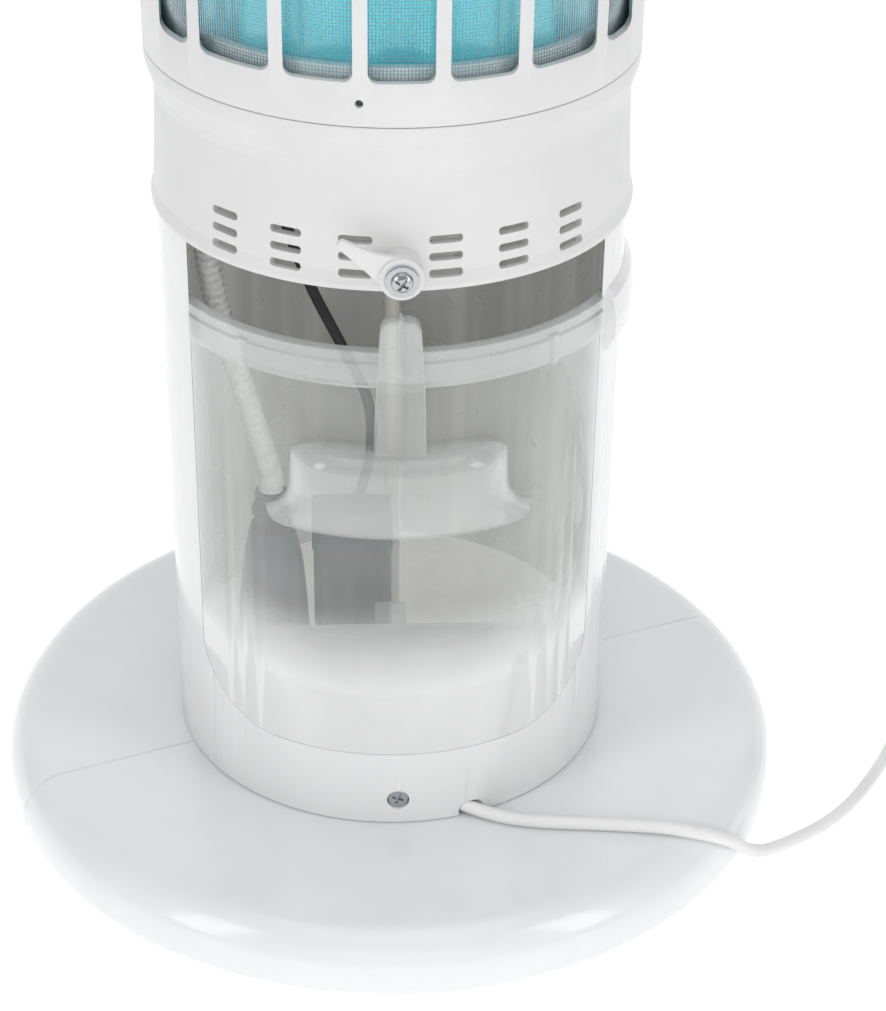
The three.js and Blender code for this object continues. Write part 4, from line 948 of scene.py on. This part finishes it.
def build_cap():
    outline = fillet([
        (91, 548.3), (94, 548.3), (95.5, 552), (95.5, 566), (92.5, 575), (86, 581.6), (76, 585), (0, 585),
        (0, 582), (75, 582), (84.4, 578.8), (90, 573), (92.5, 565), (92.5, 553)],
        [0.3, 0.6, 1.5, 6, 8, 8, 12, 0, 0, 8, 6, 6, 6, 1], 6)
    shell = revolve("cap", outline, 240)
    for side in (-1, 1):
        lug = prism("lug", rounded_rect(-5, 584, 5, 596, 4.5, 8), -2.5, 2.5, front=True)
        soften(lug, 0.5, 2, 50)
        join(shell, moved(turned(lug, 90), side * 51.4))
    carve(shell, disc("hole", 11.8, 570, 600, 56, (0, BUTTON_Y)))
    bore = disc("bore", 2.4, -80, 80, 28, (0, HANDLE_Z), front=True)
    carve(shell, turned(bore, 90))
    well = revolve("well", fillet([(13, 584.4), (15.5, 584.4), (15.5, 586), (13, 586)], 0.2, 2), 64)
    carve(shell, moved(well, 0, BUTTON_Y))
    soften(shell, 0.4, 2, 50)
    piece(shell, "top_cap_moulded", "stand", "gloss_white", ["top_cap"], angle=25)


def build_button():
    outline = fillet([(0, 574), (5, 574), (5, 578.9), (13.4, 578.9), (13.4, 581.5), (11.2, 581.5), (11.2, 588.6),
                      (9.4, 588.6), (8.2, 588.1), (0, 587.6)], [0, 0.4, 0.4, 0.3, 0.3, 0.3, 1.6, 0.4, 2, 0], 4)
    button = moved(revolve("button", outline, 64), 0, BUTTON_Y)
    piece(button, "power_button_dished", "button", "aqua", ["power_button"])


def build_handle():
    w, reach = 60, 62
    outer = ([(-w - 6, -4)] + arc(-w + 16, reach - 22, 22, 180, 90, 14) + arc(w - 16, reach - 22, 22, 90, 0, 14)
             + [(w + 6, -4), (w - 5, -4)] + arc(w - 16, reach - 22, 11, 0, 90, 12)
             + arc(-w + 16, reach - 22, 11, 90, 180, 12) + [(-w + 5, -4)])
    bail = prism("bail", outer, HANDLE_Z - 4.2, HANDLE_Z + 4.2)
    carve(bail, turned(disc("bore", 2.4, -80, 80, 28, (0, HANDLE_Z), front=True), 90))
    soften(bail, 1.6, 4, 50)
    piece(bail, "carry_handle_rounded", "handle", "satin_white", ["carry_handle"], angle=40)


build_foot()
build_pads()
build_column()
build_tray()
build_cup()
build_interior()
build_collar()
build_latch()
cross_screw("front_screw_cross", "front_screw",
            fillet([(0, -1.3), (4.2, -1.3), (1.7, 1.3), (1.6, 5.2), (0, 5.2)], [0, 0.2, 0, 0.3, 0], 3),
            (0.5, 2.6, -0.3), (0, -89.3, FRONT_SCREW_Z), 20)
cross_screw("latch_screw_cross", "latch_screw",
            fillet([(0, -3.9), (2.3, -3.6), (3.6, -2.7), (4.1, -1.3), (6.1, -1.3), (6.1, 0), (1.9, 0), (1.9, 12),
                    (0, 12)], [0, 0.8, 0.8, 0.2, 0.35, 0.2, 0, 0.3, 0], 4),
            (0.55, 2.6, -1.9), (0, LATCH_FRONT - 5.7, LATCH_Z), 32)
build_cage()
build_grid()
build_sleeve()
build_lamps()
build_cap()
build_button()
build_handle()

# CAD nodes that stay: softened edges and their real finish.
KEPT = {
    "base_joiner_plate": "zinc", "deck_plate": "satin_white", "sight_tab": "clear", "driver_lid": "blue_grey",
    "fan_rotor": "dark_blue_grey", "fan_motor": "wire", "motor_bracket": "satin_white", "lamp_base": "ceramic",
    "lamp_top_plate": "ceramic", "switch_module": "black", "handle_pin_left": "zinc", "handle_pin_right": "zinc",
}
for node_name, look in KEPT.items():
    node = NODES[node_name]
    node.data.materials.clear()
    node.data.materials.append(MAT[look])
    edge = node.modifiers.new("edge", "BEVEL")
    edge.width, edge.segments, edge.limit_method, edge.angle_limit = 0.3 * MM, 2, "ANGLE", math.radians(40)
# The deck plate gets a white with a painted glow for the light let through the wall.
NODES["deck_plate"].data.materials[0] = MAT["deck_white_painted_glow"]
